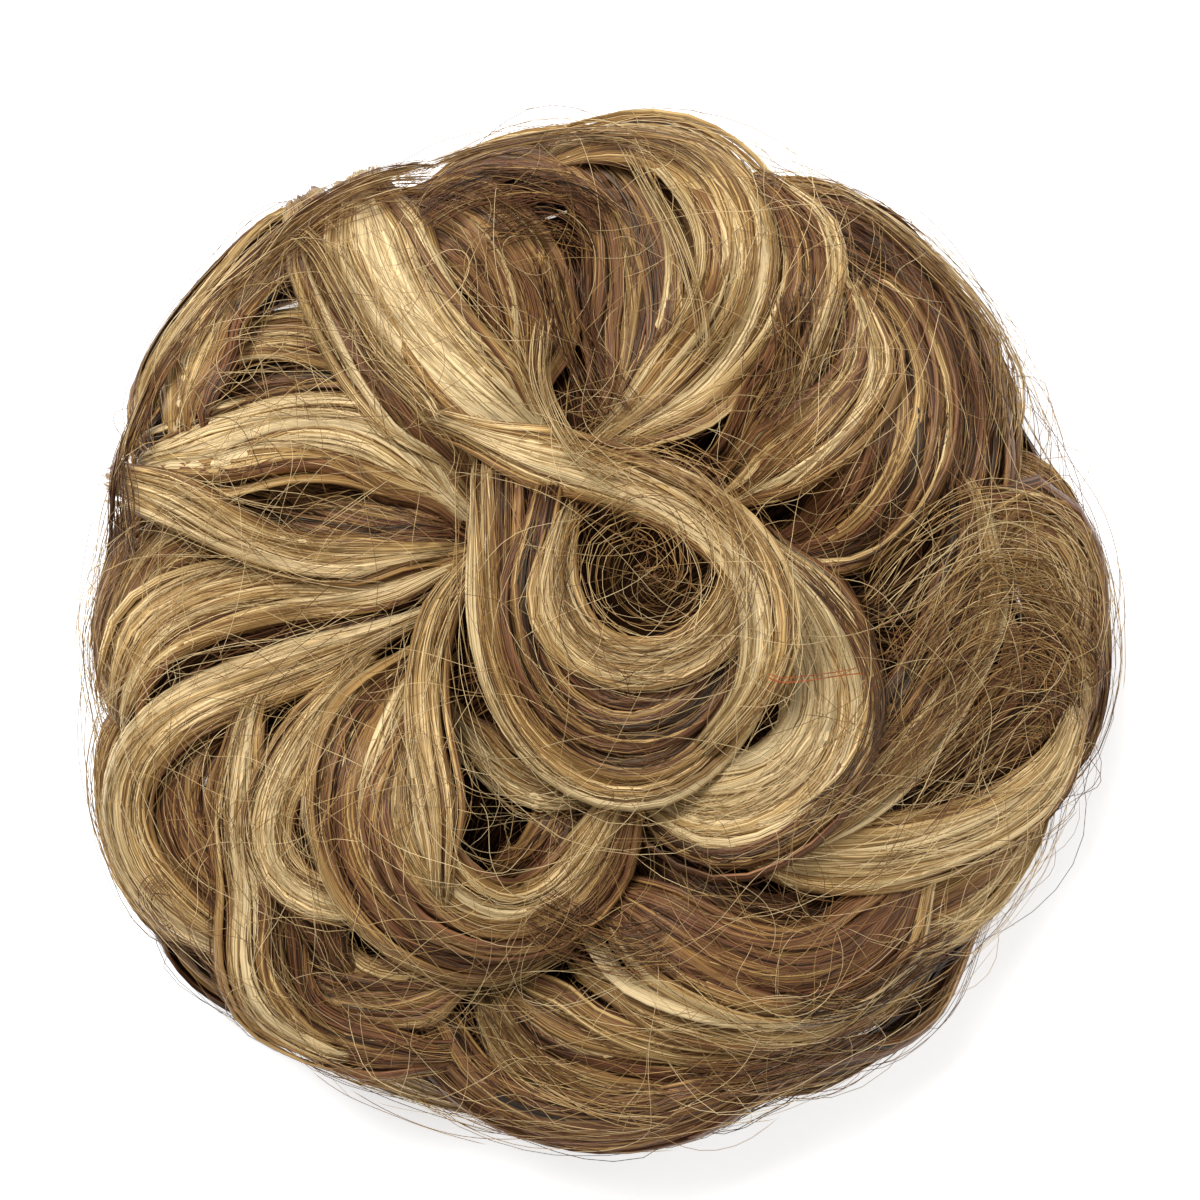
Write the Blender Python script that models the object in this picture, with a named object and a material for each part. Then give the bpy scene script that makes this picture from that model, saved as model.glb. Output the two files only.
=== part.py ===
# A messy top-knot hairpiece: looped locks of two-tone wavy hair, gathered on an elastic band.
# It lies on a table, crown up. Units are metres, +Z is up, and +Y is the photo's upward direction.

import math

import bpy
import bmesh
import numpy as np
from mathutils import Vector

# The outline: a flattened dome, widest at its waist
OUTLINE_RADIUS = 0.0735  # from the middle to the outermost loops, seen from above
WAIST_HEIGHT = 0.017  # height of the widest level above the table
CROWN_RISE = 0.033  # from the waist up to the nominal crown

# The bed: the dense gathered hair that the loops lie on, hollow below for the wearer's own knot
BED_INSET = 0.012  # from the outline in to the bed's waist
BED_FOOT_INSET = 0.0135  # from there in to where it meets the table
BED_CROWN_HEIGHT = 0.025  # its top, above the table, but for the mound in the middle
MOUND_RISE = 0.010  # the mound where the loops' ends are gathered
MOUND_RADIUS = 0.044
HOLLOW_RADIUS = 0.0235  # the space for the knot
HOLLOW_HEIGHT = 0.0185  # ceiling of that space, above the table
HOLLOW_WALL_HEIGHT = 0.013  # where its wall starts to close in
FLUTES = 24  # gathers round the bed
FLUTE_DEPTH = 0.0011
BED_STEPS_PER_FLUTE = 3
BED_WALL_RINGS = 8  # from the waist to the crown, and half as many below the waist and in the hollow

# The elastic band at the hollow's mouth
BAND_WIDTH = 0.0056
BAND_HEIGHT = 0.0052
BAND_BEVEL_SHARE = 0.28  # of its width, at each corner
BAND_INSET = 0.001  # how far it stands into the hollow's mouth
BAND_CLEARANCE = 0.0003  # to the bed's rebate, and above the table
BAND_STEPS = 48

# The locks
LOCK_WIDTH = 0.0105  # of a lock whose width share is 1
LOCK_THICKNESS = 0.0027  # of a lock whose thickness share is 1
LOCK_CLEARANCE = 0.00032  # between a lock and what it lies on
LOCK_SIDES = 8
SECTION_SPACING = 0.0075  # aimed for along a lock
SECTION_TURN = math.radians(23)  # most that a lock turns between two sections
FEWEST_SECTIONS = 6
MOST_SECTIONS = 19
END_TAPER_SHARE = 0.22  # of a lock's length, at each end
END_THICKNESS = 0.38  # of the full thickness, at the very end
LEVEL_LEAN = 0.3  # how far a lock's flat side turns from the dome's surface to face up
RIM_SHARE = 0.7  # where locks start to droop
MOST_BEND = 0.0035  # second difference of height from section to section
LOWERING_STEPS = (0.004, 0.0012, 0.0004, 0.00015)
CURVE_STEPS = 24  # from one route point to the next
SHARP_ANGLE = math.radians(50)

# Loops tucked under the waist all round
UNDER_LOOPS = 5
UNDER_LOOP_SPAN = math.radians(62)
UNDER_LOOP_WIDTH = 0.95  # as a share of a full lock's
UNDER_LOOP_END = 0.5  # width at its ends, as a share of its own
UNDER_LOOP_SECTIONS = 7
UNDER_LOOP_HIGH = math.radians(97)  # polar angle of its ends
UNDER_LOOP_LOW = math.radians(113)  # polar angle of its middle

# The map of heights that the locks are laid on
CELLS_PER_RADIAN = 104
MOST_POLAR_ANGLE = math.radians(150)
SAMPLES_ALONG = 14
SAMPLES_ACROSS = 6
BED_SAMPLES_ROUND = 1440
BED_SAMPLES_PER_RING = 26

COLOURS = {
    "blonde": (0.62, 0.43, 0.21),
    "tan": (0.42, 0.27, 0.13),
    "brown": (0.19, 0.105, 0.05),
    "rose": (0.25, 0.135, 0.085),
    "bed": (0.13, 0.075, 0.035),
    "elastic": (0.035, 0.022, 0.016),
}

# Locks in the order in which they lie on each other, lowest first. Route points are (right, up) on the
# photo, as shares of the outline radius. Width and thickness are shares of the full lock's. Root and tip
# are the width there, as shares of the lock's own. Droop is how far it may sink below the
# waist at the rim, as a share of the waist's height.
# name, tone, width, thickness, root, tip, droop, route
LOCKS = (
    ("rim_low_left", "brown", 0.75, 1.1, 0.6, 0.6, 0.55,
     ((-0.84, -0.40), (-0.88, -0.53), (-0.83, -0.65), (-0.72, -0.74), (-0.58, -0.80), (-0.44, -0.82))),
    ("rim_bottom_left", "tan", 1.15, 1.2, 0.5, 0.6, 0.45,
     ((-0.62, -0.66), (-0.56, -0.78), (-0.42, -0.87), (-0.25, -0.93), (-0.08, -0.95), (0.08, -0.92))),
    ("rim_bottom_right", "brown", 1.1, 1.2, 0.5, 0.6, 0.4,
     ((0.06, -0.76), (0.22, -0.83), (0.40, -0.87), (0.56, -0.83), (0.68, -0.72), (0.75, -0.58))),
    ("rim_right", "rose", 1.0, 1.3, 0.6, 0.5, 0.35,
     ((0.76, 0.34), (0.87, 0.30), (0.93, 0.18), (0.97, 0.03), (0.98, -0.10), (0.94, -0.24), (0.86, -0.34))),
    ("rim_top_right", "tan", 0.8, 1.1, 0.5, 0.6, 0.4,
     ((0.28, 0.88), (0.44, 0.86), (0.60, 0.77), (0.73, 0.62), (0.80, 0.46), (0.80, 0.30))),
    ("rim_top_left", "tan", 0.75, 1.1, 0.6, 0.6, 0.4,
     ((-0.46, 0.84), (-0.63, 0.81), (-0.76, 0.69), (-0.86, 0.56), (-0.92, 0.43), (-0.91, 0.31))),
    ("rim_left_upper", "tan", 0.8, 1.1, 0.6, 0.6, 0.4,
     ((-0.86, 0.30), (-0.93, 0.20), (-0.97, 0.08), (-0.985, -0.04), (-0.95, -0.15), (-0.87, -0.22))),
    ("rim_left_lower", "tan", 0.9, 1.2, 0.5, 0.6, 0.3,
     ((-0.88, -0.12), (-0.94, -0.23), (-0.955, -0.36), (-0.92, -0.48), (-0.84, -0.57), (-0.72, -0.64))),
    ("left_loop_filling", "brown", 1.4, 0.9, 0.4, 0.4, 0,
     ((-0.62, -0.10), (-0.76, -0.16), (-0.83, -0.28), (-0.82, -0.41), (-0.73, -0.52), (-0.60, -0.57))),
    ("left_low_brown", "brown", 1.2, 0.9, 0.5, 0.35, 0,
     ((-0.88, -0.14), (-0.80, -0.04), (-0.66, 0.01), (-0.52, 0.03), (-0.38, 0.06))),
    ("left_middle_brown", "rose", 1.35, 0.9, 0.4, 0.35, 0,
     ((-0.86, 0.33), (-0.72, 0.27), (-0.58, 0.23), (-0.45, 0.21), (-0.32, 0.20))),
    ("left_upper_brown", "brown", 1.25, 0.9, 0.4, 0.35, 0,
     ((-0.88, 0.36), (-0.76, 0.44), (-0.62, 0.48), (-0.49, 0.47), (-0.36, 0.39))),
    ("top_brown_sweep", "brown", 1.6, 1.0, 0.45, 0.35, 0.2,
     ((-0.34, 0.86), (-0.20, 0.94), (-0.05, 0.92), (0.05, 0.82), (0.09, 0.68), (0.08, 0.54), (0.03, 0.42))),
    ("top_left_brown", "rose", 1.3, 1.0, 0.5, 0.35, 0,
     ((-0.40, 0.83), (-0.27, 0.80), (-0.18, 0.71), (-0.14, 0.59), (-0.14, 0.46))),
    ("right_outer_brown", "brown", 1.45, 1.0, 0.4, 0.35, 0,
     ((0.34, 0.84), (0.52, 0.77), (0.65, 0.63), (0.71, 0.46), (0.70, 0.28), (0.63, 0.13), (0.50, 0.04))),
    ("right_middle_brown", "rose", 1.5, 0.9, 0.4, 0.35, 0,
     ((0.44, 0.72), (0.54, 0.60), (0.585, 0.45), (0.55, 0.30), (0.45, 0.19), (0.33, 0.15))),
    ("right_rim_tan", "tan", 1.3, 1.0, 0.4, 0.45, 0,
     ((0.72, 0.02), (0.77, 0.14), (0.85, 0.20), (0.91, 0.13), (0.92, 0.00), (0.88, -0.12))),
    ("right_sweep", "brown", 1.5, 0.9, 0.4, 0.4, 0,
     ((0.86, 0.02), (0.88, -0.12), (0.80, -0.22), (0.67, -0.29), (0.53, -0.36), (0.38, -0.40))),
    ("bottom_tan_fan", "tan", 1.6, 0.9, 0.4, 0.5, 0,
     ((-0.20, -0.68), (-0.10, -0.79), (0.05, -0.85), (0.22, -0.87), (0.38, -0.86))),
    ("bottom_brown_loop", "brown", 1.0, 1.1, 0.45, 0.5, 0.3,
     ((-0.36, -0.62), (-0.34, -0.74), (-0.26, -0.87), (-0.12, -0.95), (0.04, -0.965), (0.20, -0.92),
      (0.33, -0.86))),
    ("low_left_under", "tan", 1.1, 0.9, 0.4, 0.4, 0,
     ((-0.62, -0.62), (-0.50, -0.69), (-0.38, -0.70), (-0.26, -0.67))),
    ("low_left_tan", "tan", 1.0, 0.9, 0.45, 0.5, 0,
     ((-0.61, -0.50), (-0.63, -0.63), (-0.58, -0.75), (-0.46, -0.81), (-0.32, -0.83))),
    ("right_low_brown", "brown", 1.3, 0.9, 0.35, 0.4, 0,
     ((0.08, -0.43), (0.17, -0.52), (0.29, -0.59), (0.41, -0.59), (0.51, -0.52), (0.56, -0.43))),
    ("left_rose", "rose", 1.0, 0.8, 0.4, 0.4, 0,
     ((-0.44, -0.10), (-0.51, -0.21), (-0.545, -0.33), (-0.54, -0.46), (-0.51, -0.61))),
    ("left_inner_loop", "tan", 0.85, 1.0, 0.5, 0.5, 0,
     ((-0.70, 0.20), (-0.82, 0.18), (-0.90, 0.09), (-0.93, -0.03), (-0.90, -0.14))),
    ("left_low_blonde", "blonde", 0.95, 0.9, 0.5, 0.35, 0,
     ((-0.92, -0.13), (-0.86, -0.01), (-0.76, 0.05), (-0.63, 0.085), (-0.50, 0.095), (-0.37, 0.11),
      (-0.27, 0.14))),
    ("left_upper_arch", "tan", 0.85, 0.9, 0.4, 0.35, 0,
     ((-0.84, 0.47), (-0.73, 0.55), (-0.60, 0.585), (-0.48, 0.56), (-0.39, 0.48), (-0.31, 0.36))),
    ("left_blonde_arch", "blonde", 1.25, 1.0, 0.4, 0.3, 0,
     ((-0.86, 0.33), (-0.74, 0.35), (-0.61, 0.385), (-0.49, 0.385), (-0.38, 0.34), (-0.28, 0.25))),
    ("left_slanting_blonde", "blonde", 0.7, 0.9, 0.6, 0.4, 0,
     ((-0.92, 0.29), (-0.81, 0.255), (-0.71, 0.195), (-0.60, 0.15), (-0.48, 0.135), (-0.35, 0.15))),
    ("left_long_loop", "blonde", 0.75, 1.0, 0.35, 0.5, 0,
     ((-0.36, 0.02), (-0.50, -0.04), (-0.64, -0.09), (-0.78, -0.145), (-0.88, -0.235), (-0.915, -0.35),
      (-0.88, -0.47), (-0.79, -0.56), (-0.68, -0.62))),
    ("left_upright_blonde", "blonde", 0.8, 0.9, 0.6, 0.5, 0,
     ((-0.675, -0.19), (-0.685, -0.28), (-0.69, -0.38), (-0.675, -0.50), (-0.68, -0.63), (-0.64, -0.74),
      (-0.54, -0.81))),
    ("left_hooked_blonde", "blonde", 0.7, 0.9, 0.5, 0.5, 0,
     ((-0.47, -0.08), (-0.55, -0.19), (-0.61, -0.30), (-0.625, -0.40), (-0.58, -0.48), (-0.49, -0.52),
      (-0.40, -0.53))),
    ("top_left_golden", "blonde", 1.15, 1.0, 0.5, 0.4, 0,
     ((-0.50, 0.80), (-0.61, 0.76), (-0.71, 0.66), (-0.78, 0.54), (-0.81, 0.42))),
    ("top_left_two_tone", "rose", 1.25, 0.9, 0.45, 0.3, 0.4,
     ((-0.58, 0.84), (-0.53, 0.74), (-0.47, 0.63), (-0.40, 0.52), (-0.32, 0.42), (-0.26, 0.32))),
    ("top_left_blonde", "blonde", 1.3, 1.1, 0.45, 0.4, 0.4,
     ((-0.46, 0.87), (-0.43, 0.76), (-0.38, 0.65), (-0.31, 0.55), (-0.22, 0.46), (-0.12, 0.38))),
    ("top_blonde", "blonde", 1.25, 1.1, 0.5, 0.4, 0.1,
     ((-0.05, 0.96), (0.10, 0.97), (0.22, 0.90), (0.285, 0.78), (0.28, 0.65), (0.22, 0.54), (0.13, 0.45),
      (0.02, 0.37))),
    ("top_right_curl", "rose", 0.8, 0.9, 0.5, 0.4, 0,
     ((0.34, 0.86), (0.41, 0.77), (0.425, 0.66), (0.39, 0.55), (0.34, 0.45), (0.27, 0.35))),
    ("top_right_tan", "tan", 0.9, 0.9, 0.4, 0.4, 0,
     ((0.50, 0.62), (0.515, 0.50), (0.45, 0.40), (0.36, 0.32), (0.27, 0.26))),
    ("low_right_blonde_arc", "blonde", 0.85, 0.9, 0.4, 0.5, 0,
     ((0.00, -0.67), (0.13, -0.72), (0.28, -0.755), (0.43, -0.755), (0.56, -0.71), (0.67, -0.62))),
    ("right_low_rim", "blonde", 0.95, 1.0, 0.4, 0.5, 0,
     ((0.50, -0.60), (0.62, -0.585), (0.73, -0.54), (0.82, -0.44), (0.88, -0.30))),
    ("low_right_two_tone", "rose", 1.35, 1.0, 0.4, 0.4, 0,
     ((-0.02, -0.48), (0.08, -0.56), (0.20, -0.63), (0.34, -0.67), (0.47, -0.645), (0.57, -0.57),
      (0.62, -0.46))),
    ("right_long_blonde", "blonde", 0.95, 1.0, 0.4, 0.5, 0,
     ((0.24, -0.405), (0.38, -0.43), (0.52, -0.435), (0.66, -0.41), (0.79, -0.36), (0.88, -0.28),
      (0.93, -0.17))),
    ("right_second_ring", "tan", 1.0, 1.0, 0.35, 0.4, 0,
     ((0.72, 0.24), (0.725, 0.10), (0.69, -0.03), (0.62, -0.15), (0.52, -0.26), (0.40, -0.34),
      (0.27, -0.385), (0.14, -0.38))),
    ("right_big_blonde", "blonde", 1.4, 1.1, 0.3, 0.45, 0,
     ((0.31, 0.17), (0.39, 0.06), (0.44, -0.06), (0.445, -0.17), (0.39, -0.27), (0.29, -0.335),
      (0.17, -0.345), (0.08, -0.29))),
    ("u_curl_filling", "rose", 1.2, 0.8, 0.4, 0.4, 0,
     ((-0.01, -0.27), (-0.04, -0.38), (-0.11, -0.48), (-0.21, -0.53))),
    ("small_hook", "blonde", 0.6, 0.8, 0.4, 0.5, 0,
     ((-0.27, -0.17), (-0.21, -0.245), (-0.13, -0.30), (-0.03, -0.32))),
    ("u_curl_outer", "blonde", 1.2, 1.1, 0.3, 0.4, 0,
     ((-0.31, -0.03), (-0.40, -0.14), (-0.455, -0.27), (-0.45, -0.40), (-0.39, -0.51), (-0.29, -0.59),
      (-0.17, -0.615), (-0.05, -0.58))),
    ("u_curl_inner", "blonde", 1.0, 1.0, 0.4, 0.5, 0,
     ((-0.35, -0.19), (-0.375, -0.31), (-0.345, -0.42), (-0.27, -0.51), (-0.16, -0.55), (-0.05, -0.50),
      (0.02, -0.40), (0.06, -0.29))),
    ("middle_upright", "blonde", 0.55, 0.9, 0.5, 0.5, 0,
     ((-0.24, 0.14), (-0.30, 0.04), (-0.325, -0.08), (-0.315, -0.20), (-0.29, -0.32), (-0.29, -0.44))),
    ("centre_outer_curl", "tan", 0.9, 1.0, 0.9, 0.4, 0,
     ((-0.19, 0.29), (-0.185, 0.16), (-0.18, 0.03), (-0.15, -0.09), (-0.08, -0.20), (0.03, -0.26),
      (0.14, -0.24), (0.23, -0.15), (0.29, -0.04), (0.31, 0.08))),
    ("centre_middle_curl", "rose", 0.75, 0.9, 0.5, 0.4, 0,
     ((-0.10, 0.23), (-0.12, 0.11), (-0.11, -0.01), (-0.06, -0.11), (0.03, -0.165), (0.13, -0.15),
      (0.21, -0.08), (0.25, 0.01))),
    ("centre_ring", "blonde", 0.7, 0.9, 0.5, 0.5, 0,
     ((-0.07, 0.17), (-0.085, 0.07), (-0.04, -0.02), (0.05, -0.06), (0.15, -0.05), (0.235, 0.01),
      (0.28, 0.10), (0.26, 0.19))),
    ("crown_band", "blonde", 0.8, 1.0, 0.35, 0.5, 0,
     ((-0.27, 0.39), (-0.15, 0.345), (-0.02, 0.31), (0.10, 0.265), (0.21, 0.20), (0.285, 0.11),
      (0.31, 0.00), (0.29, -0.10), (0.23, -0.18))),
)

BED_RADIUS = OUTLINE_RADIUS - BED_INSET
BED_FOOT_RADIUS = BED_RADIUS - BED_FOOT_INSET
BAND_INNER_RADIUS = HOLLOW_RADIUS - BAND_INSET
BAND_OUTER_RADIUS = BAND_INNER_RADIUS + BAND_WIDTH


def clear_scene():
    for old in list(bpy.data.objects):
        bpy.data.objects.remove(old)


def material(tone):
    made = bpy.data.materials.new("hair_" + tone if tone != "elastic" else tone)
    made.use_nodes = True
    shader = made.node_tree.nodes["Principled BSDF"]
    shader.inputs["Base Color"].default_value = (*COLOURS[tone], 1)
    shader.inputs["Roughness"].default_value = 0.75 if tone == "elastic" else 0.38
    shader.inputs["Metallic"].default_value = 0
    return made


def add_object(name, mesh_builder, finish):
    mesh = bpy.data.meshes.new(name)
    bmesh.ops.recalc_face_normals(mesh_builder, faces=mesh_builder.faces)
    mesh_builder.to_mesh(mesh)
    mesh_builder.free()
    mesh.materials.append(finish)
    mesh.shade_smooth()
    mesh.set_sharp_from_angle(angle=SHARP_ANGLE)
    made = bpy.data.objects.new(name, mesh)
    bpy.context.scene.collection.objects.link(made)
    return made


def turned(profile, steps):
    """A closed outline of (radius, height) points spun round Z."""
    builder = bmesh.new()
    corners = [builder.verts.new((radius, 0, height)) for radius, height in profile]
    outline = [builder.edges.new((a, b)) for a, b in zip(corners, corners[1:] + corners[:1])]
    bmesh.ops.spin(builder, geom=corners + outline, angle=math.tau, steps=steps, axis=(0, 0, 1),
                   cent=(0, 0, 0), use_merge=True)
    bmesh.ops.remove_doubles(builder, verts=builder.verts, dist=1e-6)
    return builder


def bed_profile():
    """From the rebate's ceiling, down and out along the foot, up the outer wall and over to the axis."""
    rebate_radius = BAND_OUTER_RADIUS + BAND_CLEARANCE
    rebate_height = BAND_HEIGHT + 2 * BAND_CLEARANCE
    points = [(HOLLOW_RADIUS, rebate_height), (rebate_radius, rebate_height), (rebate_radius, 0),
              (BED_FOOT_RADIUS, 0)]
    for k in range(1, BED_WALL_RINGS // 2):
        turn = math.pi / 2 * k / (BED_WALL_RINGS // 2)
        points.append((BED_FOOT_RADIUS + (BED_RADIUS - BED_FOOT_RADIUS) * math.sin(turn),
                       WAIST_HEIGHT * (1 - math.cos(turn))))
    for k in range(BED_WALL_RINGS + 1):
        turn = math.pi / 2 * k / BED_WALL_RINGS
        radius = BED_RADIUS * math.cos(turn)
        rise = (BED_CROWN_HEIGHT - WAIST_HEIGHT) * math.sin(turn)
        mound = MOUND_RISE * (0.5 + 0.5 * math.cos(math.pi * min(1, radius / MOUND_RADIUS)))
        points.append((radius, WAIST_HEIGHT + rise + mound))
    return points


def bed_ceiling():
    """The hollow's wall and ceiling, from the axis out and down to the rebate."""
    points = []
    for k in range(1, BED_WALL_RINGS // 2 + 1):
        turn = math.pi / 2 * k / (BED_WALL_RINGS // 2)
        points.append((HOLLOW_RADIUS * math.sin(turn),
                       HOLLOW_WALL_HEIGHT + (HOLLOW_HEIGHT - HOLLOW_WALL_HEIGHT) * math.cos(turn)))
    return points


def make_bed(finish):
    """The gathered hair under the loops, with a blind hollow for the knot."""
    builder = bmesh.new()
    line = [(0, HOLLOW_HEIGHT)] + bed_ceiling() + bed_profile()
    corners = [builder.verts.new((radius, 0, height)) for radius, height in line]
    edges = [builder.edges.new((a, b)) for a, b in zip(corners, corners[1:])]
    bmesh.ops.spin(builder, geom=corners + edges, angle=math.tau, steps=FLUTES * BED_STEPS_PER_FLUTE,
                   axis=(0, 0, 1), cent=(0, 0, 0), use_merge=True)
    bmesh.ops.remove_doubles(builder, verts=builder.verts, dist=1e-6)
    for corner in builder.verts:
        radius = math.hypot(corner.co.x, corner.co.y)
        if radius > BAND_OUTER_RADIUS + 2 * BAND_CLEARANCE:
            share = (radius - BAND_OUTER_RADIUS) / (BED_RADIUS - BAND_OUTER_RADIUS)
            wave = math.cos(FLUTES * math.atan2(corner.co.y, corner.co.x))
            grown = 1 + FLUTE_DEPTH * share * wave / radius
            corner.co.x *= grown
            corner.co.y *= grown
    return add_object("hair_bed", builder, finish)


def make_band(finish):
    """The elastic band: a bevelled ring at the hollow's mouth."""
    bottom = BAND_CLEARANCE
    top = bottom + BAND_HEIGHT
    bevel = BAND_WIDTH * BAND_BEVEL_SHARE
    inner, outer = BAND_INNER_RADIUS, BAND_OUTER_RADIUS
    profile = [(inner + bevel, bottom), (outer - bevel, bottom), (outer, bottom + bevel),
               (outer, top - bevel), (outer - bevel, top), (inner + bevel, top), (inner, top - bevel),
               (inner, bottom + bevel)]
    return add_object("elastic_band", turned(profile, BAND_STEPS), finish)


def on_dome(reach, polar, azimuth):
    """Points in space. Reach is 1 on the nominal dome, polar is the angle from straight up."""
    rise = np.where(np.cos(polar) > 0, CROWN_RISE, WAIST_HEIGHT)
    flat = reach * OUTLINE_RADIUS * np.sin(polar)
    height = WAIST_HEIGHT + reach * rise * np.cos(polar)
    return np.stack([flat * np.cos(azimuth), flat * np.sin(azimuth), height], axis=-1)


def to_dome(points):
    """Reach, polar angle and azimuth of points in space."""
    rise = np.where(points[..., 2] > WAIST_HEIGHT, CROWN_RISE, WAIST_HEIGHT)
    flat = np.hypot(points[..., 0], points[..., 1]) / OUTLINE_RADIUS
    height = (points[..., 2] - WAIST_HEIGHT) / rise
    return np.hypot(flat, height), np.arctan2(flat, height), np.arctan2(points[..., 1], points[..., 0])


def dome_normal(points):
    """Outward directions of the nominal dome, leaning a little towards up."""
    rise = np.where(points[..., 2] > WAIST_HEIGHT, CROWN_RISE, WAIST_HEIGHT)
    normal = np.stack([points[..., 0] / OUTLINE_RADIUS ** 2, points[..., 1] / OUTLINE_RADIUS ** 2,
                       (points[..., 2] - WAIST_HEIGHT) / rise ** 2], axis=-1)
    normal /= np.linalg.norm(normal, axis=-1, keepdims=True)
    leaning = (1 - LEVEL_LEAN) * normal + LEVEL_LEAN * np.array([0, 0, 1.0])
    return leaning / np.linalg.norm(leaning, axis=-1, keepdims=True)


class HeightMap:
    """The reach of the topmost hair in every direction, on a flat polar grid."""

    def __init__(self):
        self.half = int(MOST_POLAR_ANGLE * CELLS_PER_RADIAN)
        self.reach = np.zeros((2 * self.half + 1, 2 * self.half + 1))

    def cells(self, polar, azimuth):
        column = np.rint(self.half + CELLS_PER_RADIAN * polar * np.cos(azimuth)).astype(int)
        row = np.rint(self.half + CELLS_PER_RADIAN * polar * np.sin(azimuth)).astype(int)
        return np.clip(row, 1, 2 * self.half - 1), np.clip(column, 1, 2 * self.half - 1)

    def top(self, points):
        """How far the given points reach, and how far what lies below them reaches."""
        reach, polar, azimuth = to_dome(points)
        row, column = self.cells(polar, azimuth)
        return reach, self.reach[row, column]

    def add(self, points):
        reach, polar, azimuth = to_dome(points)
        row, column = self.cells(polar.ravel(), azimuth.ravel())
        for down in (-1, 0, 1):
            for across in (-1, 0, 1):
                np.maximum.at(self.reach, (row + down, column + across), reach.ravel())


def surface_samples(sections, along, across):
    """Points all over the faceted tube between the sections."""
    next_side = np.roll(sections, -1, axis=1)
    share = (np.arange(across) / across)[None, None, :, None]
    rings = sections[:, :, None, :] * (1 - share) + next_side[:, :, None, :] * share
    rings = rings.reshape(len(sections), -1, 3)
    step = np.linspace(0, 1, along)[None, :, None, None]
    return rings[:-1, None] * (1 - step) + rings[1:, None] * step


def catmull_rom(points, count):
    """A smooth curve through the points, at evenly spaced places along it."""
    points = np.array(points, float)
    ends = np.vstack([2 * points[0] - points[1], points, 2 * points[-1] - points[-2]])
    curve = []
    for before, start, stop, after in zip(ends, ends[1:], ends[2:], ends[3:]):
        t = np.linspace(0, 1, CURVE_STEPS, endpoint=False)[:, None]
        square = (2 * before - 5 * start + 4 * stop - after) * t ** 2
        cube = (3 * start - before - 3 * stop + after) * t ** 3
        curve.append(0.5 * (2 * start + (stop - before) * t + square + cube))
    curve = np.vstack(curve + [points[-1:]])
    steps = np.linalg.norm(np.diff(curve, axis=0), axis=1)
    run = np.concatenate([[0], np.cumsum(steps)])
    wanted = np.linspace(0, run[-1], count)
    return np.stack([np.interp(wanted, run, curve[:, k]) for k in range(curve.shape[1])], axis=-1)


def section_count(route):
    """Enough sections for the lock's length and for how much it turns."""
    fine = catmull_rom(route, CURVE_STEPS * len(route))
    steps = np.diff(fine, axis=0)
    length = np.linalg.norm(steps, axis=1).sum() * OUTLINE_RADIUS
    heading = np.unwrap(np.arctan2(steps[:, 1], steps[:, 0]))
    turning = np.abs(np.diff(heading)).sum()
    wanted = max(length / SECTION_SPACING, turning / SECTION_TURN)
    return int(min(MOST_SECTIONS, max(FEWEST_SECTIONS, round(wanted) + 1)))


def end_shape(count, root, tip):
    """Width and thickness at each section, as shares of the lock's full ones."""
    share = np.linspace(0, 1, count)
    ease_root = np.clip(share / END_TAPER_SHARE, 0, 1)
    ease_tip = np.clip((1 - share) / END_TAPER_SHARE, 0, 1)
    ease_root, ease_tip = (x * x * (3 - 2 * x) for x in (ease_root, ease_tip))
    width = np.minimum(root + (1 - root) * ease_root, tip + (1 - tip) * ease_tip)
    thickness = END_THICKNESS + (1 - END_THICKNESS) * np.minimum(ease_root, ease_tip)
    return width, thickness


def lock_sections(centres, half_width, half_thickness):
    """Flattened rounded sections across the centre line."""
    along = np.gradient(centres, axis=0)
    along /= np.linalg.norm(along, axis=1, keepdims=True)
    across = np.cross(dome_normal(centres), along)
    across /= np.linalg.norm(across, axis=1, keepdims=True)
    outward = np.cross(along, across)
    turn = math.tau * (np.arange(LOCK_SIDES) + 0.5) / LOCK_SIDES
    flat = np.cos(turn)[None, :, None] * across[:, None] * half_width[:, None, None]
    tall = np.sin(turn)[None, :, None] * outward[:, None] * half_thickness[:, None, None]
    return centres[:, None] + (flat + tall) / math.cos(math.pi / LOCK_SIDES)


def lay_lock(heights, plan, droop, half_width, half_thickness):
    """Lowers a lock onto what is below it, section by section, until each one rests or may bend no more."""
    share = np.hypot(plan[:, 0], plan[:, 1])
    rim = np.clip((share - RIM_SHARE) / (1 - RIM_SHARE), 0, 1)
    lowest = WAIST_HEIGHT * (1 - droop * rim * rim * (3 - 2 * rim))

    def sections_at(height):
        centres = np.column_stack([plan * OUTLINE_RADIUS, height])
        return lock_sections(centres, half_width, half_thickness)

    def stuck_at(height):
        own, below = heights.top(surface_samples(sections_at(height), SAMPLES_ALONG, SAMPLES_ACROSS))
        touching = (own - below).min(axis=(1, 2)) < LOCK_CLEARANCE / CROWN_RISE
        stuck = height < lowest
        stuck[:-1] |= touching
        stuck[1:] |= touching
        bent = np.abs(height[2:] - 2 * height[1:-1] + height[:-2]) > MOST_BEND
        for shift in (0, 1, 2):
            stuck[shift:len(height) - 2 + shift] |= bent
        return stuck

    height = np.full(len(share), WAIST_HEIGHT + heights.reach.max() * CROWN_RISE + LOCK_THICKNESS)
    for step in LOWERING_STEPS:
        moved = True
        while moved:
            moved = False
            for moving in (slice(None), slice(0, None, 2), slice(1, None, 2)):
                trial = height.copy()
                trial[moving] -= step
                for _ in range(len(height)):
                    stuck = stuck_at(trial) & (trial < height)
                    if not stuck.any():
                        break
                    trial[stuck] = height[stuck]
                if (trial < height).any() and not stuck_at(trial).any():
                    height = trial
                    moved = True
    return sections_at(height)


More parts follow.
